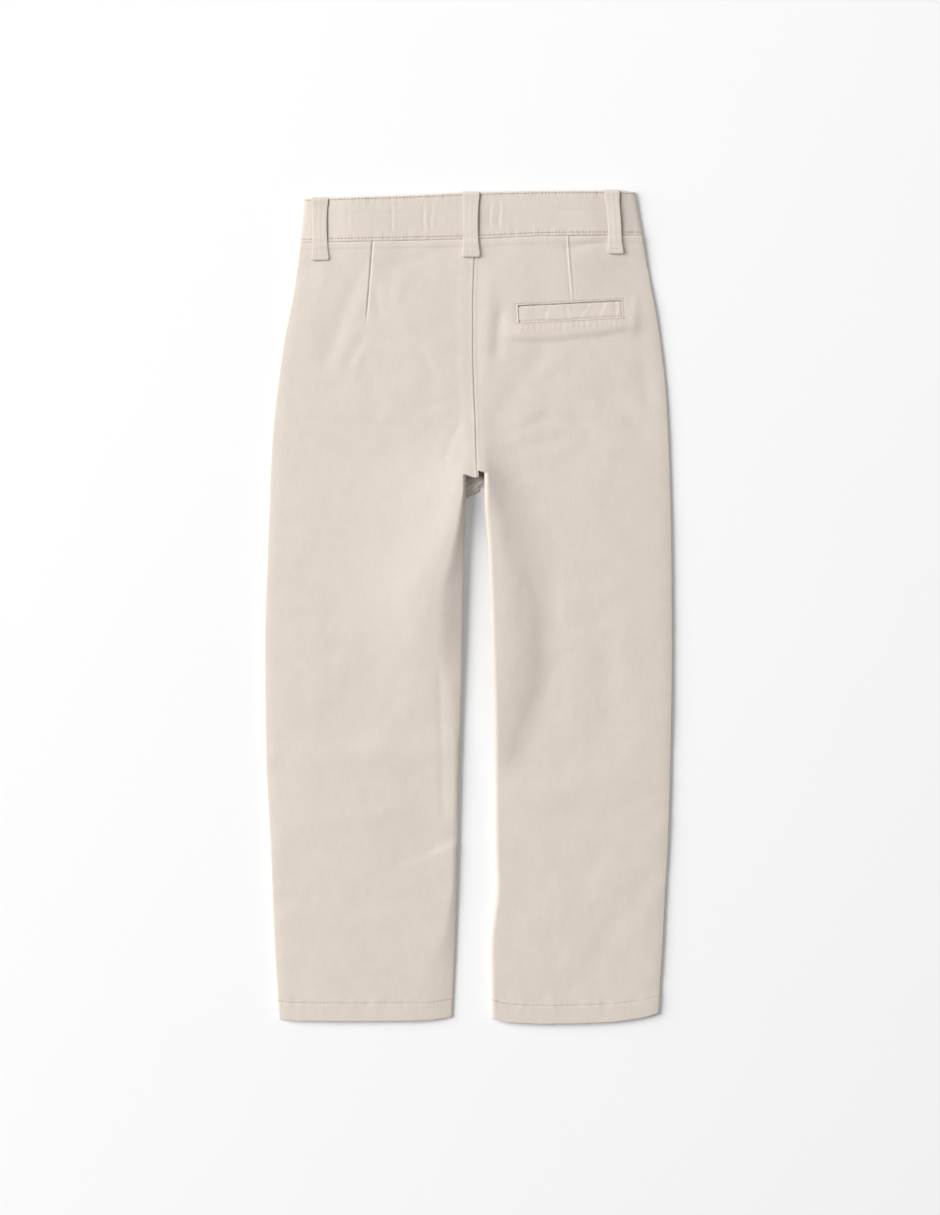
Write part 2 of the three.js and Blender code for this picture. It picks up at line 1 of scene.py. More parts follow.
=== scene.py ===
"""A child's chino trousers, laid flat on a pale floor with the back upwards.

Lengths in the tables are millimetres in the model's frame: +Y runs from the hems to the waist, +Z is
up, and the wearer's left is at -X. Meshes are in metres.
"""

import math

import bmesh
import bpy
import numpy as np
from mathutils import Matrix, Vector


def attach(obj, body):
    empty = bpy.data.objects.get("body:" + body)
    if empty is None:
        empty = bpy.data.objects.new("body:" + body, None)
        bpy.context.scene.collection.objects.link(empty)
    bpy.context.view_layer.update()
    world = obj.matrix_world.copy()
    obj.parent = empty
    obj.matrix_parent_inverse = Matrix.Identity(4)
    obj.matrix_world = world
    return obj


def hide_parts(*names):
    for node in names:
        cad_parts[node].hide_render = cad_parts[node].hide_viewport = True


bl_info = {
    "name": "Chino trousers, laid flat",
    "version": (1, 0, 0),
    "blender": (4, 5, 0),
    "location": "View3D > Sidebar > Chinos",
    "description": "Builds a child's chino trousers, laid flat with the back upwards",
    "category": "Add Mesh",
}

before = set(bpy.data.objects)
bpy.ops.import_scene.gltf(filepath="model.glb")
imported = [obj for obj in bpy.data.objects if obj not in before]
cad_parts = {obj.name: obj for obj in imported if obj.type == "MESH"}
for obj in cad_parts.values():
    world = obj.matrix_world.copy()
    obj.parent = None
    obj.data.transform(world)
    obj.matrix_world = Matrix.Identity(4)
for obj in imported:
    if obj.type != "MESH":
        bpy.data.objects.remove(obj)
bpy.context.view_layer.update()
MM = 0.001


# Tables: the first name is the column that the others are read against.
def table(names, *rows):
    """Columns of a table by name, in the order of the first one."""
    rows = sorted(rows)
    return {name: np.array([row[i] for row in rows], float) for i, name in enumerate(names.split())}


HEIGHTS = table(
    "y crown bed droop",
    (323, 6.9, 2.4, 0.9),
    (298, 6.7, 2.3, 1.4),
    (276, 6.5, 1.1, 2.5),
    (250, 6.2, 0, 2.9),
    (120, 5.6, 0, 2.5),
    (60, 5.4, 0, 2),
    (-120, 5, 0, 1.5),
    (-290, 4.8, 0, 1.2),
    (-361, 4.2, 0, 0.9),
)
SEAT_SEAM = table(
    "y x",
    (323, 6),
    (298, 4.8),
    (267, 3.9),
    (224, 3.9),
    (180, 5.2),
    (163, 6),
    (132, 6.8),
    (114, 8.6),
    (90, 10),
)
LEFT_OUTLINE = table(
    "y side inseam",
    (323, -147, -2.2),
    (289, -151, -2.2),
    (224, -162.3, -2.2),
    (137, -171.8, -2.2),
    (93, -173.6, -2.2),
    (50, -175.3, -3.9),
    (-37, -177.9, -5.6),
    (-124, -177, -7.4),
    (-211, -172.7, -9.1),
    (-298, -169.2, -11.7),
    (-361, -165, -14.4),
)
RIGHT_OUTLINE = table(
    "y side inseam",
    (323, 151.6, 13.4),
    (289, 157.5, 13.4),
    (245, 165.7, 13.4),
    (180, 173, 13.4),
    (93, 176.6, 13.9),
    (50, 177.5, 16.9),
    (-37, 177.9, 20.2),
    (-124, 176.8, 22.2),
    (-211, 174.2, 22.8),
    (-240, 172.4, 23.9),
    (-298, 169.6, 18.8),
    (-361, 166, 19.8),
)
# Below the crotch the back falls to the inner edge: width of the fall, and 0 for a round edge or 1 for
# a straight slope.
LEFT_FALL = table(
    "y width slope",
    (117, 3, 0),
    (102, 3, 0),
    (93, 4, 0.2),
    (67, 6.6, 0.7),
    (53, 8.6, 0.9),
    (41, 11, 1),
    (14, 16, 1),
    (-21, 17.5, 1),
    (-37, 16, 0.9),
    (-60, 12, 0.7),
    (-90, 8, 0.4),
    (-150, 5, 0.2),
    (-240, 5, 0.2),
    (-285, 9, 0.6),
    (-320, 24, 0.6),
    (-345, 32, 0.6),
    (-361, 34, 0.6),
)
RIGHT_FALL = table("y width slope", (117, 4, 0), (-361, 4, 0))
# The side edge: radius of its round, and the last millimetres before it, which sink a little.
SIDE_ROLL = 1.2
SIDE_SLOPE = 10
SIDE_DROP = 0.6

WAIST = table(
    "x seam top",
    (-147, 317.2, 355.4),
    (-60, 318.8, 357.8),
    (5, 320.2, 360.6),
    (75, 323, 362),
    (125, 323.5, 362.3),
    (152, 323.6, 361),
)
LEFT_HEM = table("across y", (0, -357), (0.15, -360), (0.5, -360.6), (0.9, -360.4), (1, -358.6))
RIGHT_HEM = table(
    "across y",
    (0, -357.4),
    (0.09, -361.4),
    (0.33, -362.9),
    (0.66, -361.8),
    (0.9, -357.6),
    (1, -353.6),
)

# Nominal rows of the waist seam and the hem, and how far each bends the rows beside it.
WAIST_ROW = 323
WAIST_FADE = 200
HEM_ROW = -361
HEM_FADE = -250
HEM_LINE = 16
HEM_EXTRA = 0.6
SEAM_HEIGHT = 1.4
SEAM_GAP = 0.1
SEAT_STITCH = 3.6
TONGUE = 5.5

BAND_LEFT = (-147, -143.2)
BAND_RIGHT = (151.6, 145.2)
BAND_HEIGHT = 39
BAND_ROWS = (37.3, 2.9)
BAND_WALL = 1.5
FRONT_BAND_WALL = 1.2
BAND_BED = 2.2
BAND_SEAM_HEIGHT = 1.8
BAND_CROWN = 7.2
BAND_ROLL = 3.6
# Upright creases of the back waistband: x and depth.
BAND_CREASES = ((-67, 0.18), (-40, 0.21), (-33, 0.13), (18.7, 0.17), (27.4, 0.21), (-105, 0.09))
FRONT_DIP = 9
# Where the right and the left half of the front band end, from the middle.
BAND_LAP = (-12, 14)
FLY_LAP = 6
FLY_END = 175

# The thighs: each stands higher on one side of a soft slope. Start, steepest place and end of the
# slope, read from left to right across a row, and its height.
LEFT_THIGH = table(
    "y start steep end height",
    (170, -40, -10, 3, 0),
    (148, -60, -9, 3, 1.6),
    (132, -80, -9, 3, 3.4),
    (119, -96, -10, 0, 5.6),
    (106, -104, -12, -3, 7.4),
    (93, -112, -14, -5, 8.2),
    (67, -116, -24, -10, 8),
    (53, -118, -31, -15, 7.6),
    (32, -122, -45, -23, 7.2),
    (14, -124, -56, -30, 6.8),
    (-3, -124, -59, -32, 6.2),
    (-21, -122, -53, -33, 5.4),
    (-37, -116, -54, -34, 4),
    (-55, -110, -54, -34, 2.2),
    (-90, -110, -54, -34, 0.6),
    (-130, -110, -54, -34, 0),
)
RIGHT_THIGH = table(
    "y start steep end height",
    (170, 8, 16, 44, 0),
    (148, 9, 17, 45, 1.6),
    (132, 10, 17, 46, 3.4),
    (119, 12, 18, 48, 5.6),
    (106, 14.5, 20, 52, 6.8),
    (93, 16, 25, 58, 6.4),
    (76, 20, 30, 66, 5.8),
    (58, 25, 32, 80, 5.4),
    (41, 27, 39, 84, 5.2),
    (15, 28, 52, 78, 5.4),
    (-11, 27, 59, 78, 5.8),
    (-37, 26, 59, 80, 5.8),
    (-64, 25, 60, 73, 5.2),
    (-85, 24, 51, 68, 4.6),
    (-111, 22, 42, 62, 3.2),
    (-129, 21, 36, 54, 2),
    (-143, 21, 35, 50, 0.2),
    (-150, 21, 35, 50, 0),
)
# How far the inner edge of the left leg stands off the floor.
EDGE_LIFT = table(
    "y height",
    (117, 3),
    (93, 6),
    (67, 6.6),
    (53, 6.2),
    (0, 4.8),
    (-60, 3.2),
    (-100, 2.1),
    (-150, 1.1),
    (-361, 0),
)
# Below the crotch the fork of the fronts lies lower than the backs: its height for 1 of theirs.
FORK = (55, 85, 0.05)
# Creases of the back layer: a line, its height at both ends, and its widths to the left and to the
# right, seen from its start.
FOLDS = (
    # the left back
    (-99, 284, -121, 221, -0.65, -0.6, 7, 9),
    (-125, 300, -138, 250, 0.5, 0.2, 9, 9),
    (-93, 233, -101, 216, -0.4, -0.3, 4, 6),
    (-95, 216, -100, 200, 0.35, 0.2, 4, 5),
    (-81, 276, -78, 260, -0.3, -0.3, 3, 4),
    (-61, 277, -64, 265, 0.3, 0.2, 5, 5),
    (-42, 228, -31, 205, -0.3, -0.25, 4, 6),
    (-66, 299, -38, 309, -0.3, -0.3, 5, 5),
    (-88, 161, -40, 154, -0.22, -0.22, 5, 5),
    (-60, 146, -26, 168, 0.2, 0.25, 7, 7),
    (-34, 176, -18, 178, -0.25, -0.25, 4, 4),
    (-9, 155, -20, 132, -0.45, -0.3, 3, 4),
    (-120, 190, -100, 196, -0.2, -0.2, 5, 5),
    # the right back
    (17, 272, 15, 212, 0.5, 0.4, 8, 5),
    (27, 252, 24.5, 225, -1, -0.7, 5, 4),
    (145, 264, 143.5, 243, 0.5, 0.5, 3.5, 3),
    (136, 302, 148, 293, -0.4, -0.5, 5, 5),
    (89, 312.5, 118, 317.5, -0.6, -0.5, 3, 3.5),
    (28, 166, 54, 203, -0.7, -0.5, 11, 13),
    (36, 151, 64, 163, -0.35, -0.35, 6, 5),
    (64, 163, 94, 162, -0.35, -0.3, 5, 6),
    (94, 162, 108, 154, -0.3, -0.2, 5, 5),
    (122, 181, 150, 157, -0.6, -0.5, 9, 9),
    (153, 200, 157, 180, -0.4, -0.4, 6, 6),
    (36, 137, 71, 143, -0.25, -0.25, 5, 5),
    (60, 200, 84, 222, 0.35, 0.3, 9, 9),
    # the left leg
    (-170, 40, -70, 2, 1.1, 0.4, 26, 22),
    (-11, -202, -58, -223, -0.9, -0.35, 3, 13),
    (-174, -263, -138, -249, -0.4, -0.2, 7, 7),
    (-25, -60, -22, -180, -0.3, -0.3, 3, 3),
    (-125, -132, -20, -124, 0.5, 0.7, 12, 12),
    (-150, -190, -70, -178, 0.3, 0.4, 10, 10),
    (-25, -143, -12, -150, 0.5, 0.5, 7, 6),
    (-165, -322, -110, -334, -0.3, -0.4, 9, 9),
    # the right leg
    (158, -236, 122, -288, -0.45, -0.3, 10, 12),
    (138, -310, 166, -330, -0.6, -0.6, 9, 9),
    (60, -162, 140, -150, 0.4, 0.3, 12, 12),
    (118, -20, 124, -100, -0.45, -0.35, 12, 12),
    (84, 40, 92, -90, 0.3, 0.35, 14, 14),
    (28, -300, 60, -318, 0.3, 0.3, 8, 10),
)
FOLD_EDGE = 0.03

# Welt pocket on the right back: centre, length, height and tilt in degrees.
WELT = {"x": 88.4, "y": 257.3, "length": 89.4, "height": 14.2, "tilt": 3}
WELT_COS, WELT_SIN = math.cos(math.radians(WELT["tilt"])), math.sin(math.radians(WELT["tilt"]))
POCKET_FRAME = {"ends": 2.3, "above": 1.9, "below": 1.1}
# Lower edge of the pocket bag, which shows through as a step.
POCKET_STEP = table("x y", (34, 234), (53, 232.3), (80, 233.2), (97, 235.8), (114, 237.5), (132, 241))
# Darts: x and y at the waist seam and at the tip.
LEFT_DART = (-83.6, 320, -88.6, 254)
RIGHT_DART = (86.1, 323, 90.4, 265.5)

LOOP_SHAPE = table(
    "along clear thick width",
    (0, 0.3, 1.4, 13.8),
    (0.1, 0.3, 1.3, 13.4),
    (0.18, 0.35, 1.15, 12.2),
    (0.45, 0.5, 1.1, 11.8),
    (0.75, 0.4, 1.1, 12.1),
    (0.87, 0.3, 1.4, 13.2),
    (0.93, 0.3, 1.7, 14),
    (0.97, 0.3, 1.7, 14.2),
    (0.99, 0.3, 1.6, 13.4),
    (1, 0.25, 1.3, 11.6),
)
LOOP_LENGTH = 57
LOOP_OVERHANG = 0.8
LOOP_TACKS = (0.1, 0.915)
BACK_LOOPS = (
    # node, x at the top, x at the foot, y of the foot, breadth
    ("belt_loop_back_left", -129.3, -129.1, 301.4, 1.02),
    ("belt_loop_back_centre", 2.2, 2.2, 304, 1.04),
    ("belt_loop_back_right", 124.8, 128.2, 307.1, 0.92),
)
FRONT_LOOPS = (
    ("belt_loop_front_left", -78, -78, 297, 1),
    ("belt_loop_front_right", 86, 86, 299, 1),
)


# Sizes and colours that a user would change.
class ClothSettings(bpy.types.PropertyGroup):
    colour: bpy.props.FloatVectorProperty(
        name="Cloth colour", description="Colour of the twill", size=3, min=0, max=1,
        default=(0.718, 0.645, 0.574), subtype="COLOR",
    )
    thread: bpy.props.FloatVectorProperty(
        name="Thread colour", description="Colour of the sewing thread", size=3, min=0, max=1,
        default=(0.62, 0.51, 0.42), subtype="COLOR",
    )
    thickness: bpy.props.FloatProperty(
        name="Cloth thickness", description="One layer of twill", default=0.0007, min=0.0004,
        max=0.0012, unit="LENGTH", subtype="DISTANCE",
    )
    twill_pitch: bpy.props.FloatProperty(
        name="Twill pitch", description="Distance between two diagonal ribs of the twill",
        default=0.0005, min=0.0003, max=0.0015, unit="LENGTH", subtype="DISTANCE",
    )
    unevenness: bpy.props.FloatProperty(
        name="Unevenness", description="Height of the small waves that handling leaves in the cloth",
        default=0.00032, min=0, max=0.001, unit="LENGTH", subtype="DISTANCE",
    )


class SewingSettings(bpy.types.PropertyGroup):
    stitch: bpy.props.FloatProperty(
        name="Stitch length", description="Distance between two needle holes of the topstitching",
        default=0.0026, min=0.0015, max=0.004, unit="LENGTH", subtype="DISTANCE",
    )
    thread: bpy.props.FloatProperty(
        name="Thread thickness", description="Thickness of the topstitching thread", default=0.00036,
        min=0.0002, max=0.0008, unit="LENGTH", subtype="DISTANCE",
    )


class StudioSettings(bpy.types.PropertyGroup):
    lens: bpy.props.FloatProperty(
        name="Focal length", description="Lens of the camera that looks straight down", default=100,
        min=35, max=200, unit="CAMERA",
    )
    view_height: bpy.props.FloatProperty(
        name="Height in view",
        description="Length of floor that the picture takes in from top to bottom", default=1.057,
        min=0.8, max=2, unit="LENGTH", subtype="DISTANCE",
    )
    key: bpy.props.FloatProperty(
        name="Key light", description="Power of the large soft light on the left", default=1340, min=0,
        max=3000, unit="POWER",
    )
    top: bpy.props.FloatProperty(
        name="Top light", description="Power of the soft light beyond the waist", default=45, min=0,
        max=500, unit="POWER",
    )
    side: bpy.props.FloatProperty(
        name="Side light", description="Power of the weak soft light on the right", default=115, min=0,
        max=1000, unit="POWER",
    )
    fill: bpy.props.FloatProperty(
        name="Fill light", description="Brightness of the light from all round", default=0.13, min=0,
        max=2,
    )


# Curves and surfaces.
def through(rows, column):
    """A smooth curve through one column of a table that never overshoots its rows."""
    at = next(iter(rows.values()))
    value = rows[column]
    slope = np.diff(value) / np.diff(at)
    before = np.concatenate(([slope[0]], slope))
    after = np.concatenate((slope, [slope[-1]]))
    product = before * after
    total = np.where(product > 0, before + after, 1)
    tangent = np.where(product > 0, 2 * product / total, 0)

    def curve(where):
        a = np.clip(where, at[0], at[-1])
        i = np.clip(np.searchsorted(at, a) - 1, 0, len(at) - 2)
        span = at[i + 1] - at[i]
        t = (a - at[i]) / span
        start = value[i] * (1 + 2 * t) + tangent[i] * span * t
        end = value[i + 1] * (3 - 2 * t) - tangent[i + 1] * span * (1 - t)
        return start * (1 - t) ** 2 + end * t**2

    return curve


def ease(value, low, high):
    """0 below low, 1 above high, smooth between."""
    t = np.clip((value - low) / (high - low), 0, 1)
    return t * t * (3 - 2 * t)


def lerp(a, b, t):
    return a + (b - a) * t


def unit(vectors):
    return vectors / np.linalg.norm(vectors, axis=-1, keepdims=True)


def share_between(x, inner, side):
    return np.clip((x - inner) / (side - inner), 0, 1)


def ridge(distance, width):
    return np.exp(-((distance / width) ** 2))


def soft_noise(x, y, size, seed):
    """A smooth value between -1 and 1 that changes over about size millimetres."""
    rng = np.random.default_rng(seed)
    lattice = rng.uniform(-1, 1, (64, 64))
    turn = rng.uniform(0.3, 1.2)
    u = (x * math.cos(turn) + y * math.sin(turn)) / size + 31
    v = (y * math.cos(turn) - x * math.sin(turn)) / size + 17
    i = np.floor(u).astype(int)
    k = np.floor(v).astype(int)
    s = ease(u - i, 0, 1)
    t = ease(v - k, 0, 1)
    low = lerp(lattice[i % 64, k % 64], lattice[(i + 1) % 64, k % 64], s)
    high = lerp(lattice[i % 64, (k + 1) % 64], lattice[(i + 1) % 64, (k + 1) % 64], s)
    return lerp(low, high, t)


crown = through(HEIGHTS, "crown")
bed = through(HEIGHTS, "bed")
droop = through(HEIGHTS, "droop")
seat_seam = through(SEAT_SEAM, "x")
waist_seam = through(WAIST, "seam")
waist_top = through(WAIST, "top")


def end_drop(x, y):
    """How far the sides of the waist sink from the layers in the middle to the floor."""
    return 0.9 * bed(y) * ease(np.abs(x - 3), 92, 146)


class Leg:
    """Edges of one leg. hand is -1 for the wearer's left and 1 for the right."""

    def __init__(self, hand, outline, fall, hem, back_crotch, front_crotch):
        self.hand = hand
        self.side = through(outline, "side")
        self.inseam = through(outline, "inseam")
        self.fall = through(fall, "width")
        self.slope = through(fall, "slope")
        self.hem = through(hem, "y")
        self.back_crotch, self.back_step = back_crotch
        self.front_crotch, self.front_step = front_crotch

    def inner_edge(self, y, crotch, step):
        seam = seat_seam(y) + self.hand * SEAM_GAP / 2
        return lerp(self.inseam(y), seam, ease(y, crotch - step, crotch + step))

    def crown(self, x, y):
        """Height of the back layer away from its edges: highest along the body's middle."""
        middle = lerp((self.inseam(y) + self.side(y)) / 2, seat_seam(y), ease(y, 70, 150))
        out = np.clip((x - middle) / (self.side(y) - middle), 0, 1)
        near_side = np.clip(1 - (self.side(y) - x) * self.hand / SIDE_SLOPE, 0, 1)
        return crown(y) - droop(y) * out**2 - SIDE_DROP * near_side**2


# Where the edge of each back, and of each front, leaves the middle seam, and over what height.
LEFT = Leg(-1, LEFT_OUTLINE, LEFT_FALL, LEFT_HEM, (116.6, 1.3), (98, 4.2))
RIGHT = Leg(1, RIGHT_OUTLINE, RIGHT_FALL, RIGHT_HEM, (117.6, 1.1), (104, 1))


def fold_height(x, y):
    """Height that all the creases add."""
    height = 0
    for x0, y0, x1, y1, h0, h1, left, right in FOLDS:
        dx, dy = x1 - x0, y1 - y0
        length = math.hypot(dx, dy)
        along = ((x - x0) * dx + (y - y0) * dy) / length
        beside = ((x - x0) * dy - (y - y0) * dx) / length
        beyond = along - np.clip(along, 0, length)
        width = np.where(beside > 0, right, left)
        near = ridge(beside, width) * ridge(beyond, 2 * left)
        share = np.maximum(0, near - FOLD_EDGE) / (1 - FOLD_EDGE)
        height += share * lerp(h0, h1, (along - beyond) / length)
    return height


def rolled(distance, roll, join):
    cos = np.clip(1 - distance / roll, 0, 1)
    return 1 - join * (1 - np.sqrt(1 - cos * cos))


def slope_share(rows, x, y):
    """0 before a slope and 1 after it, steepest where its table says."""
    start, steep, end = (through(rows, name)(y) for name in ("start", "steep", "end"))
    t = np.clip((x - start) / (end - start), 0, 1)
    m = (steep - start) / (end - start)
    return np.where(t < m, t * t / m, 1 - (1 - t) ** 2 / (1 - m))


def thigh_lift(leg, x, y):
    """How far the inner side of the thigh stands up, in both layers."""
    if leg.hand < 0:
        return through(LEFT_THIGH, "height")(y) * slope_share(LEFT_THIGH, x, y)
    return through(RIGHT_THIGH, "height")(y) * (1 - slope_share(RIGHT_THIGH, x, y))


def edge_lift(leg, x, y):
    """How far the inner edge is raised off the floor, fading into the leg."""
    if leg.hand < 0:
        lift = through(EDGE_LIFT, "height")(y) * (1 - ease(leg.inseam(y) - x, 6, 40))
        return lift * (1 - ease(y, 112, 134))
    return thigh_lift(leg, x, y)


def edges_of(leg, y):
    """Inner edge, the width of its fall and its join, and the side edge, of the back at a row."""
    inner = leg.inner_edge(y, leg.back_crotch, leg.back_step)
    join = 1 - ease(y, leg.back_crotch - 2 * leg.back_step, leg.back_crotch + 2 * leg.back_step)
    return inner, leg.fall(y), join, leg.side(y)


def arch_share(leg, x, y):
    inner, fall, join, side = edges_of(leg, y)
    distance = (x - inner) * leg.hand
    round_edge = rolled(distance, fall, join)
    # A straight slope with a soft crease at its top, and a small round edge at its foot.
    climb = 0.08 + 0.96 * np.maximum(0, distance) / fall
    soft = 0.3
    straight = climb - np.clip(climb - 1 + soft, 0, 2 * soft) ** 2 / (4 * soft)
    straight = np.where(climb > 1 + soft, 1, straight) * rolled(distance, 1.8, 1)
    straight = 1 - join * (1 - straight)
    from_inner = lerp(round_edge, straight, leg.slope(y))
    return np.minimum(from_inner, rolled((side - x) * leg.hand, SIDE_ROLL, 1))


def welt_frame(x, y):
    """Place along and up the welt, from its centre."""
    dx, dy = x - WELT["x"], y - WELT["y"]
    return dx * WELT_COS + dy * WELT_SIN, dy * WELT_COS - dx * WELT_SIN


def welt_point(along, up):
    """The other way round: where a place along and up the welt lies."""
    return WELT["x"] + along * WELT_COS - up * WELT_SIN, WELT["y"] + along * WELT_SIN + up * WELT_COS


def dart_distance(dart, x, y):
    """Distance beside a dart's line, and how deep it is there."""
    x0, y0, x1, y1 = dart
    t = (y - y0) / (y1 - y0)
    return x - lerp(x0, x1, t), 1 - ease(t, 0.75, 1.15)


def panel_top(leg, x, y, real_y):
    """Height of the back panel. y is the nominal row, real_y where it lies."""
    up = arch_share(leg, x, y)
    seam = bed(y) + SEAM_HEIGHT + SEAM_GAP
    edge = edge_lift(leg, x, y)
    z = seam + edge + (leg.crown(x, y) + thigh_lift(leg, x, y) - seam - edge) * up
    soft = fold_height(x, y) + small_waves(x, real_y) + sewn_relief(leg, x, y, real_y)
    return z - end_drop(x, y) + np.minimum(1, up * 1.2) * soft


def small_waves(x, y):
    scale = bpy.context.scene.cloth_settings.unevenness / MM
    waves = 1.1 * soft_noise(x, y * 0.8, 46, 3)
    waves += 0.6 * soft_noise(x, y, 21, 5)
    waves += 0.28 * soft_noise(x, y, 10, 8)
    waves += 0.13 * soft_noise(x, y, 5.3, 13)
    return scale * waves


def sewn_relief(leg, x, y, real_y):
    """Grooves, layers and puckers that the sewing leaves in a back panel."""
    above_hem = y - HEM_ROW
    pucker = soft_noise(x, real_y * 0.2, 5, 21)
    relief = 0.3 * (1 - ease(above_hem, HEM_LINE - 0.6, HEM_LINE + 0.6))
    relief -= 0.1 * ridge(above_hem - HEM_LINE, 0.7)
    relief += 0.2 * pucker * ridge(above_hem - HEM_LINE, 5)
    relief += 0.12 * soft_noise(x, real_y * 0.3, 1.9, 23) * ridge(above_hem - HEM_LINE, 1.6)
    relief -= 0.15 * ridge(above_hem, 0.6)
    # The seams of the lower leg pull short puckers across it.
    from_side = (leg.side(y) - x) * leg.hand
    lower = 1 - ease(y, -80, 20)
    relief += 0.2 * lower * soft_noise(x * 0.3, real_y, 6.5, 61) * ridge(from_side - 4, 9)
    # The waist seam: its allowance lies under the panel, and the edge is drawn in.
    below_waist = WAIST_ROW - y
    relief += 0.35 * (1 - ease(below_waist, 5, 7))
    relief -= 0.6 * ridge(below_waist, 0.7)
    relief += 0.1 * pucker * ridge(below_waist, 9)
    # The seat seam, with its topstitch on the right.
    from_seam = x - seat_seam(y)
    above_crotch = ease(y, leg.back_crotch - 2, leg.back_crotch + 2)
    relief -= 0.32 * above_crotch * ridge(from_seam, 0.36)
    if leg.hand > 0:
        relief -= 0.12 * above_crotch * ridge(from_seam - SEAT_STITCH, 0.45)
    else:
        relief += 0.14 * above_crotch * ridge(from_seam + 1.5, 0.8)
        relief += 0.2 * above_crotch * (1 - ease(-from_seam, 10, 12.5))
    dart = RIGHT_DART if leg.hand > 0 else LEFT_DART
    beside, depth = dart_distance(dart, x, y)
    if leg.hand < 0:
        relief = relief - 0.75 * depth * ridge(beside, 0.55) + 0.15 * depth * ridge(beside + 1.6, 1)
    else:
        relief = relief + 0.3 * depth * ridge(beside, 0.7) - 0.22 * depth * ridge(beside + 1.5, 0.7)
        relief -= 0.2 * depth * ridge(beside - 1.6, 0.7)
        relief += pocket_relief(x, real_y)
    return relief


def pocket_relief(x, y):
    along, up = welt_frame(x, y)
    half_length, half_height = WELT["length"] / 2, WELT["height"] / 2
    window = 1 - ease(np.abs(along), half_length, half_length + 0.25)
    window = window * (1 - ease(up, half_height, half_height + 0.3))
    window = window * ease(up, -half_height - 0.25, -half_height)
    relief = -1.5 * window - 1.6 * window * ease(up, half_height - 1.3, half_height - 0.7)
    # The stitched frame round the window draws the cloth in.
    out_along = np.abs(along) - half_length
    out_up = np.where(
        up > 0, up - half_height - POCKET_FRAME["above"], -up - half_height - POCKET_FRAME["below"]
    )
    frame_line = np.maximum(out_along - POCKET_FRAME["ends"], out_up)
    relief -= 0.12 * ridge(frame_line, 0.6) * (1 - window)
    relief += 0.22 * ridge(frame_line + 1.2, 0.7) * (1 - window)
    ripple = np.cos(along * 2 * math.pi / 4.9 + 3 * soft_noise(x, y, 12, 31))
    under = np.where(up > 0, 0.4, 1) * ease(out_up, 0.9, 2.2) * (1 - ease(out_up, 5, 9))
    relief += 0.11 * ripple * under * (1 - ease(out_along, 0, 2))
    # The pocket bag inside lifts the cloth down to a soft step.
    step_y = through(POCKET_STEP, "y")(x)
    step = ease(y - step_y, -2, 2.2)
    bag = step * (1 - ease(up, -16, 6)) * (1 - ease(along, 42, 66)) * (1 - ease(-along, 40, 70))
    return relief + 1.4 * bag


def bent_row(leg, x, y, across, dip=0.0):
    """Where a nominal row lies, so that it meets the waist seam and the hem."""
    waist = waist_seam(x) - SEAM_GAP / 2 - dip - WAIST_ROW
    hem = leg.hem(across) - HEM_ROW
    return (
        y + waist * ease(y, WAIST_FADE, WAIST_ROW) + hem * (1 - ease(y, HEM_ROW, HEM_FADE))
    )


def front_dip(x):
    share = (x - seat_seam(WAIST_ROW)) / BAND_RIGHT[0]
    return FRONT_DIP * np.maximum(0, 1 - share * share)


def place_on_back(x, real_y):
    """Height of the back at places on it, for what is sewn there."""
    x = np.asarray(x, float)
    real_y = np.asarray(real_y, float)
    z = np.empty_like(x)
    for leg in (LEFT, RIGHT):
        mine = (x < seat_seam(real_y)) == (leg.hand < 0)
        if not mine.any():
            continue
        mx, my = x[mine], real_y[mine]
        inner, _, _, side = edges_of(leg, my)
        across = share_between(mx, inner, side)
        # Steps towards the nominal row that lies at each place.
        nominal = my.copy()
        for _ in range(8):
            nominal = nominal + my - bent_row(leg, mx, nominal, across)
        z[mine] = panel_top(leg, mx, nominal, my)
    return z


# Meshes.
def spread(start, stop, count):
    """count places from start up to but without stop, for every row."""
    return lerp(start[:, None], stop[:, None], np.arange(count) / count)


def cluster(centre, offsets):
    return centre[:, None] + np.array(offsets)


def row_places(marks):
    """Rows from (from, to, spacing) stretches, top first."""
    counts = [max(2, round((high - low) / step) + 1) for high, low, step in marks]
    rows = [np.linspace(high, low, count)[:-1] for (high, low, _), count in zip(marks, counts)]
    return np.concatenate(rows + [[marks[-1][1]]])


def set_uv(mesh, uv):
    layer = mesh.uv_layers.new(name="Cut")
    corners = np.empty(len(mesh.loops), dtype=np.int32)
    mesh.loops.foreach_get("vertex_index", corners)
    layer.data.foreach_set("uv", uv[corners].astype(np.float32).ravel())


def mesh_object(name, vertices, faces, uv=None):
    mesh = bpy.data.meshes.new(name)
    mesh.from_pydata((vertices * MM).tolist(), [], faces)
    if uv is not None:
        set_uv(mesh, uv * MM)
    mesh.polygons.foreach_set("use_smooth", np.ones(len(faces), dtype=bool))
    mesh.update()
    piece = bpy.data.objects.new(name, mesh)
    bpy.context.scene.collection.objects.link(piece)
    return piece


def grid_normals(points):
    along = np.gradient(points, axis=0)
    across = np.gradient(points, axis=1)
    return unit(np.cross(across, along))


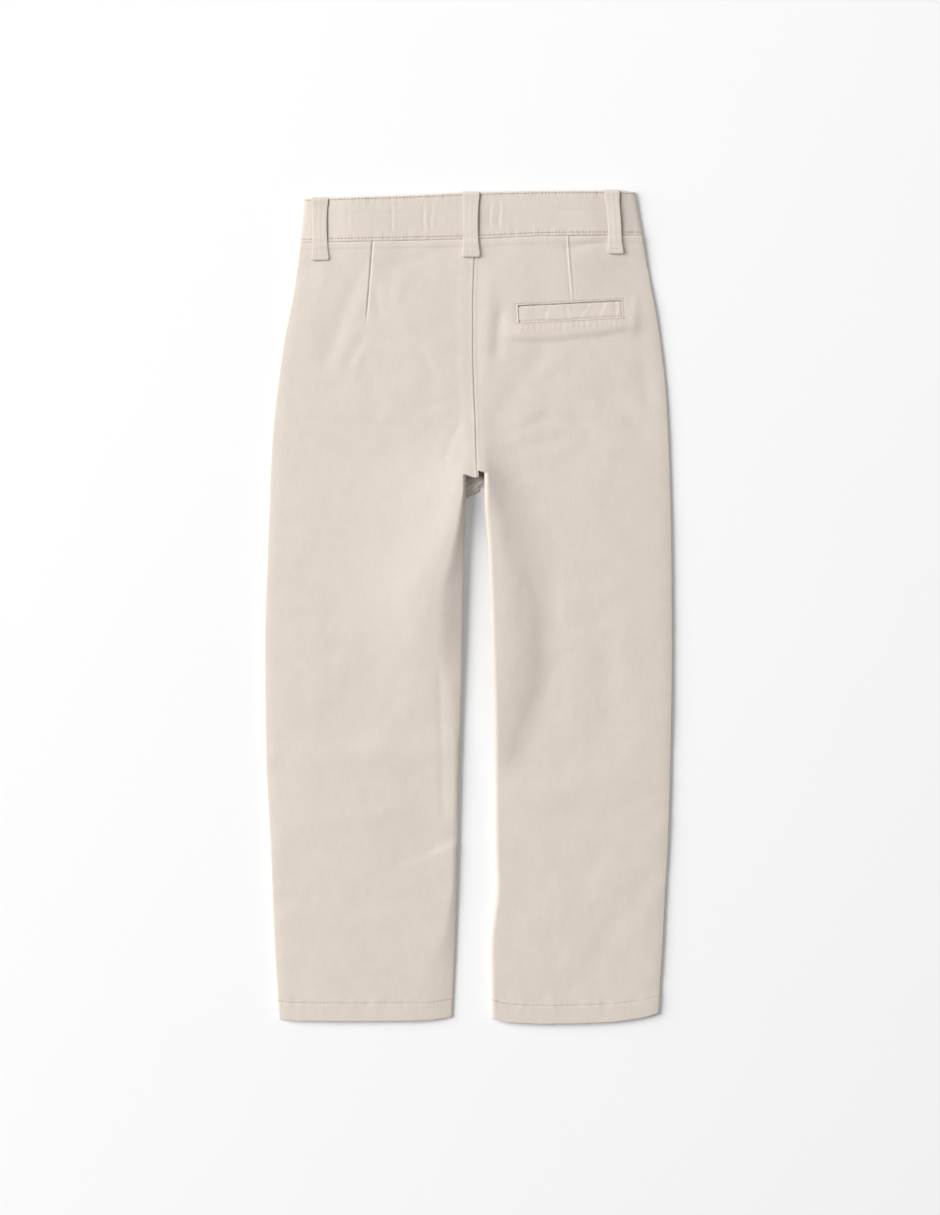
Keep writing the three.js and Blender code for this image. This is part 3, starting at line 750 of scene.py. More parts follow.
def shell(name, top, thickness, uv, inward):
    """A closed thin wall: the outer grid, the inner grid at thickness below it, and a rounded rim.

    inward is -1 where the outer face looks up and 1 where it looks down.
    """
    rows, columns = top.shape[:2]
    normal = grid_normals(top)
    if np.sign(normal[..., 2].mean()) != -inward:
        normal = -normal
    thickness = np.broadcast_to(thickness, (rows, columns))[..., None]
    below = top - normal * thickness
    ids = np.arange(rows * columns).reshape(rows, columns)
    loop = np.concatenate((ids[0, :-1], ids[:-1, -1], ids[-1, :0:-1], ids[:0:-1, 0]))
    step_in = np.concatenate((ids[1, :-1], ids[:-1, -2], ids[-2, :0:-1], ids[:0:-1, 1]))
    flat_top, flat_below = top.reshape(-1, 3), below.reshape(-1, 3)
    flat_normal = normal.reshape(-1, 3)
    outward = flat_top[loop] - flat_top[step_in]
    outward -= flat_normal[loop] * (outward * flat_normal[loop]).sum(1, keepdims=True)
    outward /= np.maximum(1e-9, np.linalg.norm(outward, axis=1, keepdims=True))
    rim = (flat_top[loop] + flat_below[loop]) / 2
    rim += outward * 0.28 * thickness.reshape(-1, 1)[loop]
    count = rows * columns
    vertices = np.concatenate((flat_top, flat_below, rim))
    uvs = np.concatenate((uv.reshape(-1, 2), uv.reshape(-1, 2), uv.reshape(-1, 2)[loop]))
    quads = np.stack((ids[:-1, :-1], ids[:-1, 1:], ids[1:, 1:], ids[1:, :-1]), -1).reshape(-1, 4)
    after = np.roll(np.arange(len(loop)), -1)
    here = 2 * count + np.arange(len(loop))
    ahead = here[after]
    outer_rim = np.stack((loop[after], loop, here, ahead), -1)
    inner_rim = np.stack((ahead, here, count + loop, count + loop[after]), -1)
    faces = np.concatenate((quads, quads[:, ::-1] + count, outer_rim, inner_rim))
    a, b, c = (vertices[faces[:, k]] for k in (0, 1, 2))
    d = vertices[faces[:, 3]]
    volume = (a * np.cross(b, c)).sum() + (a * np.cross(c, d)).sum()
    if volume < 0:
        faces = faces[:, ::-1]
    return mesh_object(name, vertices, faces.tolist(), uvs)


def cut_uv(points):
    """Flat place of each point: the length along its row, and its place along the leg."""
    steps = np.linalg.norm(np.diff(points, axis=1)[..., [0, 2]], axis=2)
    lengths = np.concatenate((np.zeros((len(points), 1)), np.cumsum(steps, axis=1)), axis=1)
    middle = points.shape[1] // 2
    u = lengths - lengths[:, middle : middle + 1] + points[:, middle : middle + 1, 0]
    return np.stack((u, points[..., 1]), -1)


PANEL_ROWS = row_places(
    [
        (323, 312, 0.8),
        (312, 272, 2.2),
        (272, 263, 0.6),
        (263, 252, 1.6),
        (252, 243, 0.6),
        (243, 124, 2.4),
        (124, 121, 1),
        (121, 112, 0.5),
        (112, 104, 1),
        (104, -338, 2.6),
        (-338, -350, 0.6),
        (-350, -357, 1.4),
        (-357, -361, 0.5),
    ]
)
GROOVE = (-2.4, -1.2, -0.6, -0.3, 0, 0.3, 0.6, 1.2, 2.4)
SEAM_STEPS = np.array((0, 0.25, 0.55, 1, 1.7, 2.3, 2.7, 3.1, 3.8, 5.2, 8, 11, 13))


def back_columns(leg, y):
    """Places across every row of a back panel, from the inner edge to the side."""
    inner, fall, join, side = edges_of(leg, y)
    turn = 1 - np.cos(np.linspace(0, math.pi / 2, len(SEAM_STEPS)))
    offsets = lerp(SEAM_STEPS, (1.1 * fall[:, None] + 2) * turn, join[:, None])
    near_inner = inner[:, None] + leg.hand * offsets
    start = near_inner[:, -1]
    stop = side - leg.hand * SIDE_ROLL
    turn_side = SIDE_ROLL * (1 - np.cos(np.linspace(0, math.pi / 2, 10)))
    near_side = side[:, None] - leg.hand * turn_side[::-1]
    x0, y0, x1, y1 = RIGHT_DART if leg.hand > 0 else LEFT_DART
    dart = lerp(x0, x1, np.clip((y - y0) / (y1 - y0), 0, 1))
    if leg.hand < 0:
        middle = [
            spread(start, dart + 3.6, 34),
            cluster(dart, GROOVE[::-1]),
            spread(dart - 3.6, stop, 34),
        ]
    else:
        left_end = np.full_like(y, WELT["x"] - WELT["length"] / 2)
        right_end = np.full_like(y, WELT["x"] + WELT["length"] / 2)
        edge = (-3.2, -2.6, -2.3, -2, -1.4, -0.5, -0.28, -0.1, 0.05, 0.5)
        middle = [
            spread(start, left_end - 4, 7),
            cluster(left_end, edge),
            spread(left_end + 1.5, dart - 3.6, 31),
            cluster(dart, GROOVE),
            spread(dart + 3.6, right_end - 1.5, 31),
            cluster(right_end, tuple(-e for e in edge[::-1])),
            spread(right_end + 4, stop, 10),
        ]
    return np.concatenate([near_inner, middle[0][:, 1:], *middle[1:], near_side], axis=1)


def back_grid(leg):
    y = PANEL_ROWS
    x = back_columns(leg, y)
    rows = np.broadcast_to(y[:, None], x.shape)
    inner, _, _, side = edges_of(leg, rows)
    across = share_between(x, inner, side)
    hang, shift = 0, 0
    if leg.hand > 0:
        # The grid turns with the welt, so that its edges follow the window.
        dx, dy = x - WELT["x"], rows - WELT["y"]
        weight = (1 - ease(np.abs(dx), 52, 68)) * (1 - ease(np.abs(dy), 14, 40))
        x = x - dy * WELT_SIN * weight
        shift = dx * WELT_SIN * weight
    else:
        # The seat seam ends in a short tongue on the left back.
        near_seam = ease(x, -6, 8)
        hang = TONGUE * near_seam * ridge(rows - leg.back_crotch, 9)
        x = x + near_seam * (seat_seam(rows - hang) - seat_seam(rows))
    real_y = bent_row(leg, x, rows, across) + shift
    z = panel_top(leg, x, rows + shift, real_y if leg.hand > 0 else rows)
    return np.stack((x, real_y - hang, z), -1), rows


def panel_wall(rows):
    """Thickness of a leg panel: one layer of cloth, and more where the hem is turned in."""
    cloth = bpy.context.scene.cloth_settings.thickness / MM
    return cloth + HEM_EXTRA * (1 - ease(rows - HEM_ROW, HEM_LINE - 0.5, HEM_LINE + 1.5))


def make_back_panel(leg, name):
    points, rows = back_grid(leg)
    return shell(name, points, panel_wall(rows), cut_uv(points), -1)


FRONT_ROWS = row_places(
    [
        (323, 314, 1.5),
        (314, 118, 4),
        (118, 92, 0.7),
        (92, -338, 5),
        (-338, -350, 1),
        (-350, -361, 1.5),
    ]
)


def front_inner(leg, y):
    lap = FLY_LAP * ease(y, FLY_END, FLY_END + 20) if leg.hand < 0 else 0
    return leg.inner_edge(y, leg.front_crotch, leg.front_step) + lap


def front_under(leg, x, y):
    """Underside of the front: flat on the floor, with its edges curled up."""
    inner, side = front_inner(leg, y), leg.side(y)
    join = 1 - ease(y, leg.front_crotch - 5, leg.front_crotch + 5)
    up = rolled((x - inner) * leg.hand, SEAM_HEIGHT, join)
    up = np.minimum(up, rolled((side - x) * leg.hand, SEAM_HEIGHT, 1))
    low, high, share = FORK
    lift = edge_lift(leg, x, y) * lerp(1, share, ease(y, low, high))
    z = bed(y) + SEAM_HEIGHT * (1 - up) + lift - end_drop(x, y)
    if leg.hand > 0:
        beyond = x - seat_seam(y)
        z += 1.8 * (1 - ease(beyond, FLY_LAP + 2, FLY_LAP + 14)) * ease(y, FLY_END - 44, FLY_END - 22)
    return z


def make_front_panel(leg, name):
    y = FRONT_ROWS
    inner, side = front_inner(leg, y), leg.side(y)
    turn = SEAM_HEIGHT * (1 - np.cos(np.linspace(0, math.pi / 2, 6)))
    near_inner = inner[:, None] + leg.hand * turn
    near_side = side[:, None] - leg.hand * turn[::-1]
    first, last = near_inner[:, -1], near_side[:, 0]
    near = first + leg.hand * 16
    inside = np.concatenate((spread(first, near, 20), spread(near, last, 30)), axis=1)[:, 1:]
    x = np.concatenate((near_inner, inside, near_side), axis=1)
    rows = np.broadcast_to(y[:, None], x.shape)
    across = share_between(x, inner[:, None], side[:, None])
    real_y = bent_row(leg, x, rows, across, front_dip(x))
    points = np.stack((x, real_y, front_under(leg, x, rows)), -1)
    thickness = panel_wall(rows)
    # Seam allowances cross at the point of the crotch, on the inside.
    slant = (14.5 * (real_y - 94) - 10.4 * (x + 1)) / 17.8
    crossing = ridge(x - 6, 12) * ridge(slant - 5, 9)
    thickness = thickness + crossing * 0.55 * (1 + np.cos(slant * 2 * math.pi / 4.2))
    return shell(name, points, thickness, cut_uv(points), 1)


# Waistband.
def band_edges(share):
    return lerp(BAND_LEFT[0], BAND_LEFT[1], share), lerp(BAND_RIGHT[0], BAND_RIGHT[1], share)


def band_row(x, share, dip=0):
    return lerp(waist_seam(x) + SEAM_GAP / 2, waist_top(x), share) - dip


def band_top(x, share):
    low, high = band_edges(share)
    up = np.minimum(rolled(x - low, BAND_ROLL, 1), rolled(high - x, BAND_ROLL, 1))
    seam = BAND_BED + BAND_SEAM_HEIGHT + SEAM_GAP
    near_end = np.clip(1 - np.minimum(x - low, high - x) / 14, 0, 1)
    sunk = 1.1 * ease(np.abs(x - 3), 100, 146) + 1.1 * near_end**2
    z = seam + (BAND_CROWN - sunk - seam) * up
    height = share * BAND_HEIGHT
    y = band_row(x, share)
    pucker = soft_noise(x, y * 0.15, 3.6, 41)
    relief = -0.07 * ridge(height - 37.3, 0.6) - 0.07 * ridge(height - 2.9, 0.6)
    relief = relief + 0.12 * ridge(height - 38.3, 0.7) - 0.5 * ridge(height - BAND_HEIGHT, 0.5)
    relief += 0.2 * pucker * (ridge(height - 37, 5) + ridge(height - 3, 4))
    relief -= 0.35 * ridge(height, 0.6)
    fine = soft_noise(x, y * 0.3, 1.5, 47)
    relief += 0.16 * fine * (ridge(height - 37.4, 1.4) + ridge(height - 3, 1.4))
    drawn_in = np.cos(x * 2 * math.pi / 3 + 1.5 * soft_noise(x, 0 * x, 17, 49))
    relief += 0.09 * drawn_in * (ridge(height - 37, 1.9) + ridge(height - 3, 1.7))
    relief += 0.5 * small_waves(x, y)
    middle = ease(height, 6, 12) * (1 - ease(height, 26, 34))
    for crease, depth in BAND_CREASES:
        sway = crease + 1.5 * soft_noise(np.full_like(y, crease), y, 9, 43)
        relief -= depth * middle * ridge(x - sway, 1.5)
        relief += 0.6 * depth * middle * ridge(x - sway - 2.6, 1.6)
    for _, x_top, x_foot, _, breadth in BACK_LOOPS:
        along = (waist_top(x) + LOOP_OVERHANG - y) / LOOP_LENGTH
        edge = lerp(x_top, x_foot, along) + breadth * through(LOOP_SHAPE, "width")(along) / 2
        relief -= 1.1 * ridge(x - edge - 0.35, 0.75) * ease(height, 1, 4)
    casing = ease(x, -112, -100) * (1 - ease(x, -60, -48))
    relief -= 0.22 * casing * ridge(y - 342.8, 0.9)
    wide = ease(x, 60, 80) * (1 - ease(x, 112, 124))
    relief -= 0.22 * wide * ridge(y - 347 + 0.05 * (x - 60), 1.4)
    return z - end_drop(x, WAIST_ROW) + np.minimum(1, up) * relief


BAND_SHARES = row_places([(1, 0.88, 0.012), (0.88, 0.14, 0.03), (0.14, 0, 0.012)])


def make_back_band():
    share = BAND_SHARES
    low, high = band_edges(share)
    turn = BAND_ROLL * (1 - np.cos(np.linspace(0, math.pi / 2, 9)))
    near_low = low[:, None] + turn
    near_high = high[:, None] - turn[::-1]
    # Columns are close together beside each loop's right edge.
    first, last = near_low[0, -1], near_high[0, 0]
    beside_loops = [
        (x_top + 6.2 * breadth + np.arange(-2.1, 2.5, 0.3) - first) / (last - first)
        for _, x_top, _, _, breadth in BACK_LOOPS
    ]
    across = np.unique(np.concatenate((np.arange(1, 380) / 380, *beside_loops)))
    inside = lerp(near_low[:, -1:], near_high[:, :1], across)
    x = np.concatenate((near_low, inside, near_high), axis=1)
    shares = np.broadcast_to(share[:, None], x.shape)
    points = np.stack((x, band_row(x, shares), band_top(x, shares)), -1)
    return shell("waistband_back_cloth", points, BAND_WALL, cut_uv(points), -1)


def front_band_under(hand, x, share):
    """Underside of a half of the front band. The right half passes over the left one."""
    low, high = band_edges(share)
    up = rolled(x - low if hand < 0 else high - x, BAND_SEAM_HEIGHT, 1)
    z = BAND_BED + BAND_SEAM_HEIGHT * (1 - up) - end_drop(x, WAIST_ROW)
    if hand > 0:
        lap_end = seat_seam(WAIST_ROW) + BAND_LAP[1] + 1
        z += 1.5 * (1 - ease(x, lap_end, lap_end + 20))
    return z


def make_front_band(hand):
    share = row_places([(1, 0.9, 0.025), (0.9, 0.1, 0.1), (0.1, 0, 0.025)])
    low, high = band_edges(share)
    middle = seat_seam(WAIST_ROW)
    curl = BAND_SEAM_HEIGHT * (1 - np.cos(np.linspace(0, math.pi / 2, 6)))
    lap = np.full_like(share, middle + BAND_LAP[0 if hand > 0 else 1])[:, None]
    start, end = (low[:, None] + curl, lap) if hand < 0 else (lap, high[:, None] - curl[::-1])
    x = np.concatenate((start, spread(start[:, -1], end[:, 0], 60)[:, 1:], end), axis=1)
    shares = np.broadcast_to(share[:, None], x.shape)
    z = front_band_under(hand, x, shares)
    points = np.stack((x, band_row(x, shares, front_dip(x)), z), -1)
    name = "waistband_front_left_cloth" if hand < 0 else "waistband_front_right_cloth"
    return shell(name, points, FRONT_BAND_WALL, cut_uv(points), 1)


# Belt loops.
def upper_cloth(x, y):
    """Height of the back, waistband included."""
    share = np.clip((y - waist_seam(x)) / (waist_top(x) - waist_seam(x)), 0, 1)
    band = band_top(x, share)
    panel = place_on_back(x, np.minimum(y, waist_seam(x) - 0.2))
    bridge = lerp(panel, band, ease(y, waist_seam(x) - 6, waist_seam(x)))
    return np.where(y > waist_seam(x), band, np.maximum(panel, bridge))


def loop_middle(x_top, x_foot, y_foot, along, dip=0):
    x = lerp(x_top, x_foot, along)
    y = lerp(waist_top(np.asarray(x_top, float)) - dip + LOOP_OVERHANG, y_foot, along)
    return x, y


def loop_top(x_top, x_foot, y_foot, breadth, along, side):
    """Upper face of a back loop: along from its top to its foot, side from -1 to 1."""
    x, y = loop_middle(x_top, x_foot, y_foot, along)
    width = through(LOOP_SHAPE, "width")(along) * breadth
    bow = 0.5 * np.sin(along * math.pi) * np.sin(along * 5 + x_top)
    x = x + bow + side * width / 2
    middle = upper_cloth(lerp(x_top, x_foot, along), np.minimum(y, waist_top(x) - 0.4))
    lift = through(LOOP_SHAPE, "clear")(along) + through(LOOP_SHAPE, "thick")(along)
    z = middle + lift + 0.15 * (1 - side**2)
    z += 0.35 * side * np.sin(np.clip((along - 0.1) / 0.8, 0, 1) * math.pi)
    # Folded over the waistband's edge at the top and turned under at the foot.
    z = z - 1.5 * ease(along, 0.045, 0) - 0.45 * ease(along, 0.985, 1.0)
    z -= 0.14 * ridge(np.abs(side) * width / 2 - 2.1, 0.5)
    z -= 0.2 * ridge((along - 0.925) * LOOP_LENGTH, 0.6)
    return np.stack(np.broadcast_arrays(x, y, z), -1)


def make_back_loop(name, *place):
    head, length, foot = np.linspace(0, 0.08, 8), np.linspace(0.08, 0.88, 34), np.linspace(0.88, 1, 14)
    along = np.concatenate((head[:-1], length[:-1], foot))
    side = np.sin(np.linspace(-math.pi / 2, math.pi / 2, 25))
    a, s = np.meshgrid(along, side, indexing="ij")
    points = loop_top(*place, a, s)
    thickness = through(LOOP_SHAPE, "thick")(a) * 0.85
    uv = np.stack((s * 6, a * LOOP_LENGTH), -1)
    return shell(name + "_cloth", points, thickness, uv, -1)


def front_loop_under(x_top, x_foot, y_foot, breadth, along, side):
    """Underside of a front loop, and how thick the loop is there."""
    dip = front_dip(np.asarray(x_top, float))
    x, y = loop_middle(x_top, x_foot, y_foot, along, dip)
    x = x + side * breadth * through(LOOP_SHAPE, "width")(along) / 2
    thick = through(LOOP_SHAPE, "thick")(along) * 0.85
    clear = 0.25
    base = np.minimum(BAND_BED, bed(y + dip))
    z = np.maximum(0.05, base - clear - thick)
    return np.stack((x, y, z), -1), np.minimum(thick, base - clear) * 0.9


def make_front_loop(name, *place):
    a, s = np.meshgrid(np.linspace(0, 1, 30), np.linspace(-1, 1, 9), indexing="ij")
    points, thickness = front_loop_under(*place, a, s)
    uv = np.stack((s * 6, a * LOOP_LENGTH), -1)
    return shell(name + "_cloth", points, thickness, uv, 1)


# Welt.
def make_welt():
    length, height = WELT["length"] + 0.05, WELT["height"] - 0.25
    along = np.linspace(-length / 2, length / 2, 110)
    up = np.concatenate(([-1, -0.97, -0.92], np.linspace(-0.85, 0.85, 14), [0.92, 0.97, 1])) * height / 2
    up = up - 0.35 * ease(up, -height / 2, height / 2)
    a, u = np.meshgrid(along, up, indexing="ij")
    x, y = welt_point(a, u)
    # Its edges lie as low as its middle, below the rim of the window.
    at_edge = np.abs(u) > height / 2 - 0.6
    z = np.where(at_edge, place_on_back(*welt_point(a, 0 * u)), place_on_back(x, y)) + 1.5 - 0.1
    z = z - 0.3 * ridge(np.abs(a) - length / 2, 0.45) - 0.22 * ridge(u + height / 2, 0.4)
    z = z - 1.2 * ease(u, height / 2 - 0.8, height / 2) - 0.18 * ridge(u + 5.4, 0.5)
    z = z + 0.16 * soft_noise(x, y, 9, 57) - 0.25 * ridge(a - 39.5, 0.8)
    for crease, lean in ((-21, 0.3), (-3, -0.2), (12, 0.8), (27, 0.5)):
        z = z - 0.13 * ridge(a - crease - lean * u, 1.6) + 0.07 * ridge(a - crease - 3 - lean * u, 1.8)
    points = np.stack((x, y, z), -1)
    return shell("pocket_welt_cloth", points, 0.9, np.stack((a, u), -1), -1)


# Stitches.
def model_stitch():
    """One visible stitch of thread, along X, sunk into the cloth at its ends."""
    bpy.ops.object.select_all(action="DESELECT")
    bpy.ops.mesh.primitive_cylinder_add(
        vertices=6, radius=0.5, depth=1, end_fill_type="TRIFAN", rotation=(0, math.pi / 2, 0)
    )
    piece = bpy.context.object
    bpy.ops.object.transform_apply(location=True, rotation=True, scale=True)
    bpy.ops.object.mode_set(mode="EDIT")
    bpy.ops.mesh.select_all(action="SELECT")
    bpy.ops.mesh.bisect(plane_co=(-0.3, 0, 0), plane_no=(1, 0, 0))
    bpy.ops.mesh.select_all(action="SELECT")
    bpy.ops.mesh.bisect(plane_co=(0.3, 0, 0), plane_no=(1, 0, 0))
    for end in (-0.5, 0.5):
        form = bmesh.from_edit_mesh(piece.data)
        bpy.ops.mesh.select_all(action="DESELECT")
        for vertex in form.verts:
            vertex.select = abs(vertex.co.x - end) < 0.01
        form.select_flush(True)
        bmesh.update_edit_mesh(piece.data)
        bpy.ops.transform.resize(value=(1, 0.55, 0.55))
        bpy.ops.transform.translate(value=(0, 0, -0.7))
    bpy.ops.object.mode_set(mode="OBJECT")
    vertices = np.array([v.co for v in piece.data.vertices])
    faces = [list(p.vertices) for p in piece.data.polygons]
    bpy.data.objects.remove(piece)
    return vertices, faces


def read_line(points):
    """The length of a line, and a function that reads values given at its points anywhere along it."""
    steps = np.linalg.norm(np.diff(points, axis=0), axis=1)
    lengths = np.concatenate(([0], np.cumsum(steps)))

    def read(values, at):
        return np.stack([np.interp(at, lengths, values[:, k]) for k in range(3)], -1)

    return lengths[-1], read


def sew(name, lines, pitch_scale, width_scale):
    """Stitches along lines of (points, normals), joined to one piece."""
    sewing = bpy.context.scene.sewing_settings
    pitch = sewing.stitch / MM * pitch_scale
    thread = sewing.thread / MM * width_scale
    base, base_faces = model_stitch()
    vertices, faces = [], []
    for points, normals in lines:
        length, read = read_line(points)
        count = max(1, round(length / pitch))
        at = (np.arange(count) + 0.5) * length / count
        tangent = unit(read(points, at + 0.3) - read(points, at - 0.3))
        beside = unit(np.cross(read(normals, at), tangent))
        for p, t, b, n in zip(read(points, at), tangent, beside, np.cross(tangent, beside)):
            start = sum(len(v) for v in vertices)
            vertices.append(
                p
                + base[:, :1] * t * pitch * 0.74
                + base[:, 1:2] * b * thread
                + (base[:, 2:3] * 0.8 + 0.1) * n * thread
            )
            faces += [[i + start for i in face] for face in base_faces]
    return mesh_object(name, np.concatenate(vertices), faces)


def needle_hole_shade(name, lines, pitch_scale, radius):
    """Discs of painted shade for the dimples at the needle holes between the stitches of the same lines,
    darkest in the middle.
    """
    pitch = bpy.context.scene.sewing_settings.stitch / MM * pitch_scale
    turn = np.linspace(0, 2 * math.pi, 9)[:-1]
    ring = np.stack((np.cos(turn), np.sin(turn), 0 * turn), -1)
    disc = np.concatenate((ring * radius, ring * radius * 0.5, [[0, 0, 0]]))
    rise = np.concatenate((np.full(8, 0.0), np.full(8, 0.05), [0.06]))
    # How much painted shade each ring of a disc gets: none at the rim, most in the middle.
    shade = np.concatenate((np.zeros(8), np.full(8, 0.42), [1]))
    vertices, faces, shades = [], [], []
    for points, normals in lines:
        length, read = read_line(points)
        count = max(1, round(length / pitch))
        at = np.arange(count + 1) * length / count
        for p, n in zip(read(points, at), read(normals, at)):
            side = unit(np.cross(n, (0, 1, 0)))
            over = np.cross(side, n)
            start = 17 * len(vertices)
            vertices.append(p + disc[:, :1] * side + disc[:, 1:2] * over + (rise[:, None] + 0.02) * n)
            shades.append(shade)
            for i in range(8):
                k = (i + 1) % 8
                faces.append((start + i, start + k, start + 8 + k, start + 8 + i))
                faces.append((start + 8 + i, start + 8 + k, start + 16, start + 16))
    faces = [face if face[2] != face[3] else face[:3] for face in faces]
    piece = mesh_object(name, np.concatenate(vertices), faces)
    layer = piece.data.attributes.new("PaintedShade", "FLOAT", "POINT")
    layer.data.foreach_set("value", np.concatenate(shades).astype(np.float32))
    return piece


def line_on_back(x, y, sink=0.0):
    """Points on the back, with the way it faces, along a line of x and y."""
    z, d = place_on_back(x, y), 1.2
    slope_x = (place_on_back(x + d, y) - place_on_back(x - d, y)) / (2 * d)
    slope_y = (place_on_back(x, y + d) - place_on_back(x, y - d)) / (2 * d)
    normal = np.stack((-slope_x, -slope_y, np.ones_like(x)), -1)
    return np.stack((x, y, z - sink), -1), unit(normal)


def line_across(x, y, z):
    """Points on a line across the back, with the way the cloth faces there."""
    normal = np.stack((-np.gradient(z, x), 0 * x, 1 + 0 * x), -1)
    return np.stack((x, y, z), -1), unit(normal)


def band_line(height):
    """A row of stitches along the back waistband, at a height above its seam."""
    share = height / BAND_HEIGHT
    low, high = band_edges(share)
    x = np.linspace(low + 1.5, high - 1.5, 300)
    return line_across(x, band_row(x, share), band_top(x, share))


def hem_line(leg):
    row = np.float64(HEM_ROW + HEM_LINE)
    inner, _, _, side = edges_of(leg, row)
    x = np.linspace(inner + 1.2 * leg.hand, side - 1.2 * leg.hand, 160)
    rows = np.full_like(x, row)
    y = bent_row(leg, x, rows, share_between(x, inner, side))
    return line_across(x, y, panel_top(leg, x, rows, y))


def front_line(leg, x, rows):
    """A line on the outside of a front, which looks down."""
    inner, side = front_inner(leg, rows), leg.side(rows)
    y = bent_row(leg, x, rows, share_between(x, inner, side), front_dip(x))
    return facing(np.stack((x, y, front_under(leg, x, rows) + 0.12), -1), -1.0)


def front_hem_line(leg):
    row = np.float64(HEM_ROW + HEM_LINE)
    x = np.linspace(front_inner(leg, row) + 3 * leg.hand, leg.side(row) - 3 * leg.hand, 120)
    return front_line(leg, x, np.full_like(x, row))


def fly_line():
    """The row that holds the fly's facing: down the left front, then in to the middle seam."""
    turn = np.linspace(0, math.pi / 2, 40)[1:]
    corner = FLY_END + 34
    down = np.linspace(319, corner, 60)
    rows = np.concatenate((down, corner - 32 * np.sin(turn)))
    out = np.concatenate((np.full(60, 33.0), 33 * np.cos(turn) + 1))
    return front_line(LEFT, seat_seam(rows) - out, rows)


def front_band_line(hand, height):
    share = height / BAND_HEIGHT
    low, high = band_edges(share)
    middle = seat_seam(WAIST_ROW)
    if hand < 0:
        x = np.linspace(low + 3, middle + BAND_LAP[1] - 1.5, 160)
    else:
        x = np.linspace(middle + BAND_LAP[1] + 1, high - 3, 150)
    z = front_band_under(hand, x, share) + 0.12
    return facing(np.stack((x, band_row(x, share, front_dip(x)), z), -1), -1.0)


def pocket_lines():
    half_length, half_height = WELT["length"] / 2, WELT["height"] / 2
    end = half_length + POCKET_FRAME["ends"]
    top, bottom = half_height + POCKET_FRAME["above"], -half_height - POCKET_FRAME["below"]
    rows, tacks = [], []
    for up in (top, bottom):
        along = np.linspace(-end, end, 90)
        rows.append(line_on_back(*welt_point(along, np.full_like(along, up))))
    for along in (-end, -half_length - 0.35, half_length + 0.35, end):
        up = np.linspace(bottom, top, 40)
        tacks.append(line_on_back(*welt_point(np.full_like(up, along), up)))
    return rows, tacks


def seat_line():
    y = np.linspace(RIGHT.back_crotch + 3, 319, 200)
    return line_on_back(seat_seam(y) + SEAT_STITCH, y, 0.08)


def loop_lines():
    """The tacks that hold each loop, near its top and its foot."""
    side = np.linspace(-0.75, 0.6, 20)
    lines = []
    for along_at in LOOP_TACKS:
        along = np.full_like(side, along_at)
        for _, *place in BACK_LOOPS:
            lines.append(facing(loop_top(*place, along, side), 1.0))
        for _, *place in FRONT_LOOPS:
            points, _ = front_loop_under(*place, along, side)
            lines.append(facing(points + (0, 0, 0.12), -1.0))
    return lines


def facing(points, z):
    return points, np.broadcast_to((0.0, 0.0, z), points.shape)


# Materials.
def node_group(name, inputs, outputs):
    group = bpy.data.node_groups.new(name, "ShaderNodeTree")
    for label, kind in inputs:
        group.interface.new_socket(name=label, in_out="INPUT", socket_type=kind)
    for label, kind in outputs:
        group.interface.new_socket(name=label, in_out="OUTPUT", socket_type=kind)
    return group, group.nodes.new("NodeGroupInput"), group.nodes.new("NodeGroupOutput")


def math_node(tree, operation, first, second=None, third=None):
    node = tree.nodes.new("ShaderNodeMath")
    node.operation = operation
    for socket, value in zip(node.inputs, (first, second, third)):
        if value is None:
            continue
        if isinstance(value, (int, float)):
            socket.default_value = value
        else:
            tree.links.new(value, socket)
    return node.outputs[0]


def noise_node(tree, vector, scale, detail):
    node = tree.nodes.new("ShaderNodeTexNoise")
    node.inputs["Scale"].default_value = scale
    node.inputs["Detail"].default_value = detail
    tree.links.new(vector, node.inputs["Vector"])
    return node.outputs["Fac"]


def stretched(tree, vector, scale):
    node = tree.nodes.new("ShaderNodeMapping")
    node.inputs["Scale"].default_value = scale
    tree.links.new(vector, node.inputs["Vector"])
    return node.outputs["Vector"]


def twill_group():
    """Diagonal ribs, the yarns that cross them, and the slubs of the warp."""
    group, given, result = node_group(
        "twill_weave",
        [("Vector", "NodeSocketVector"), ("Pitch", "NodeSocketFloat")],
        [("Height", "NodeSocketFloat"), ("Tone", "NodeSocketFloat")],
    )
    vector = given.outputs["Vector"]
    parts = group.nodes.new("ShaderNodeSeparateXYZ")
    group.links.new(vector, parts.inputs[0])
    u, v = parts.outputs[0], parts.outputs[1]
    wander = math_node(group, "MULTIPLY", noise_node(group, vector, 260, 2), 0.0009)
    across = math_node(group, "MULTIPLY", v, 0.5)
    diagonal = math_node(group, "ADD", math_node(group, "MULTIPLY", u, 0.86), across)
    diagonal = math_node(group, "ADD", diagonal, wander)
    turns = math_node(group, "DIVIDE", diagonal, given.outputs["Pitch"])
    rib = math_node(group, "SINE", math_node(group, "MULTIPLY", turns, 2 * math.pi))
    yarns = math_node(group, "SINE", math_node(group, "MULTIPLY", v, 2 * math.pi / 0.00036))
    rib = math_node(group, "MULTIPLY_ADD", yarns, 0.25, rib)
    fuzz = noise_node(group, vector, 3200, 2)
    height = math_node(group, "MULTIPLY_ADD", fuzz, 1.2, rib)
    group.links.new(height, result.inputs["Height"])
    warp = noise_node(group, stretched(group, vector, (1100, 70, 1)), 1, 2)
    weft = noise_node(group, stretched(group, vector, (60, 900, 1)), 1, 2)
    blotch = noise_node(group, vector, 55, 4)
    tone = math_node(group, "MULTIPLY_ADD", warp, 0.5, math_node(group, "MULTIPLY", weft, 0.22))
    tone = math_node(group, "MULTIPLY_ADD", blotch, 0.28, tone)
    group.links.new(tone, result.inputs["Tone"])
    return group


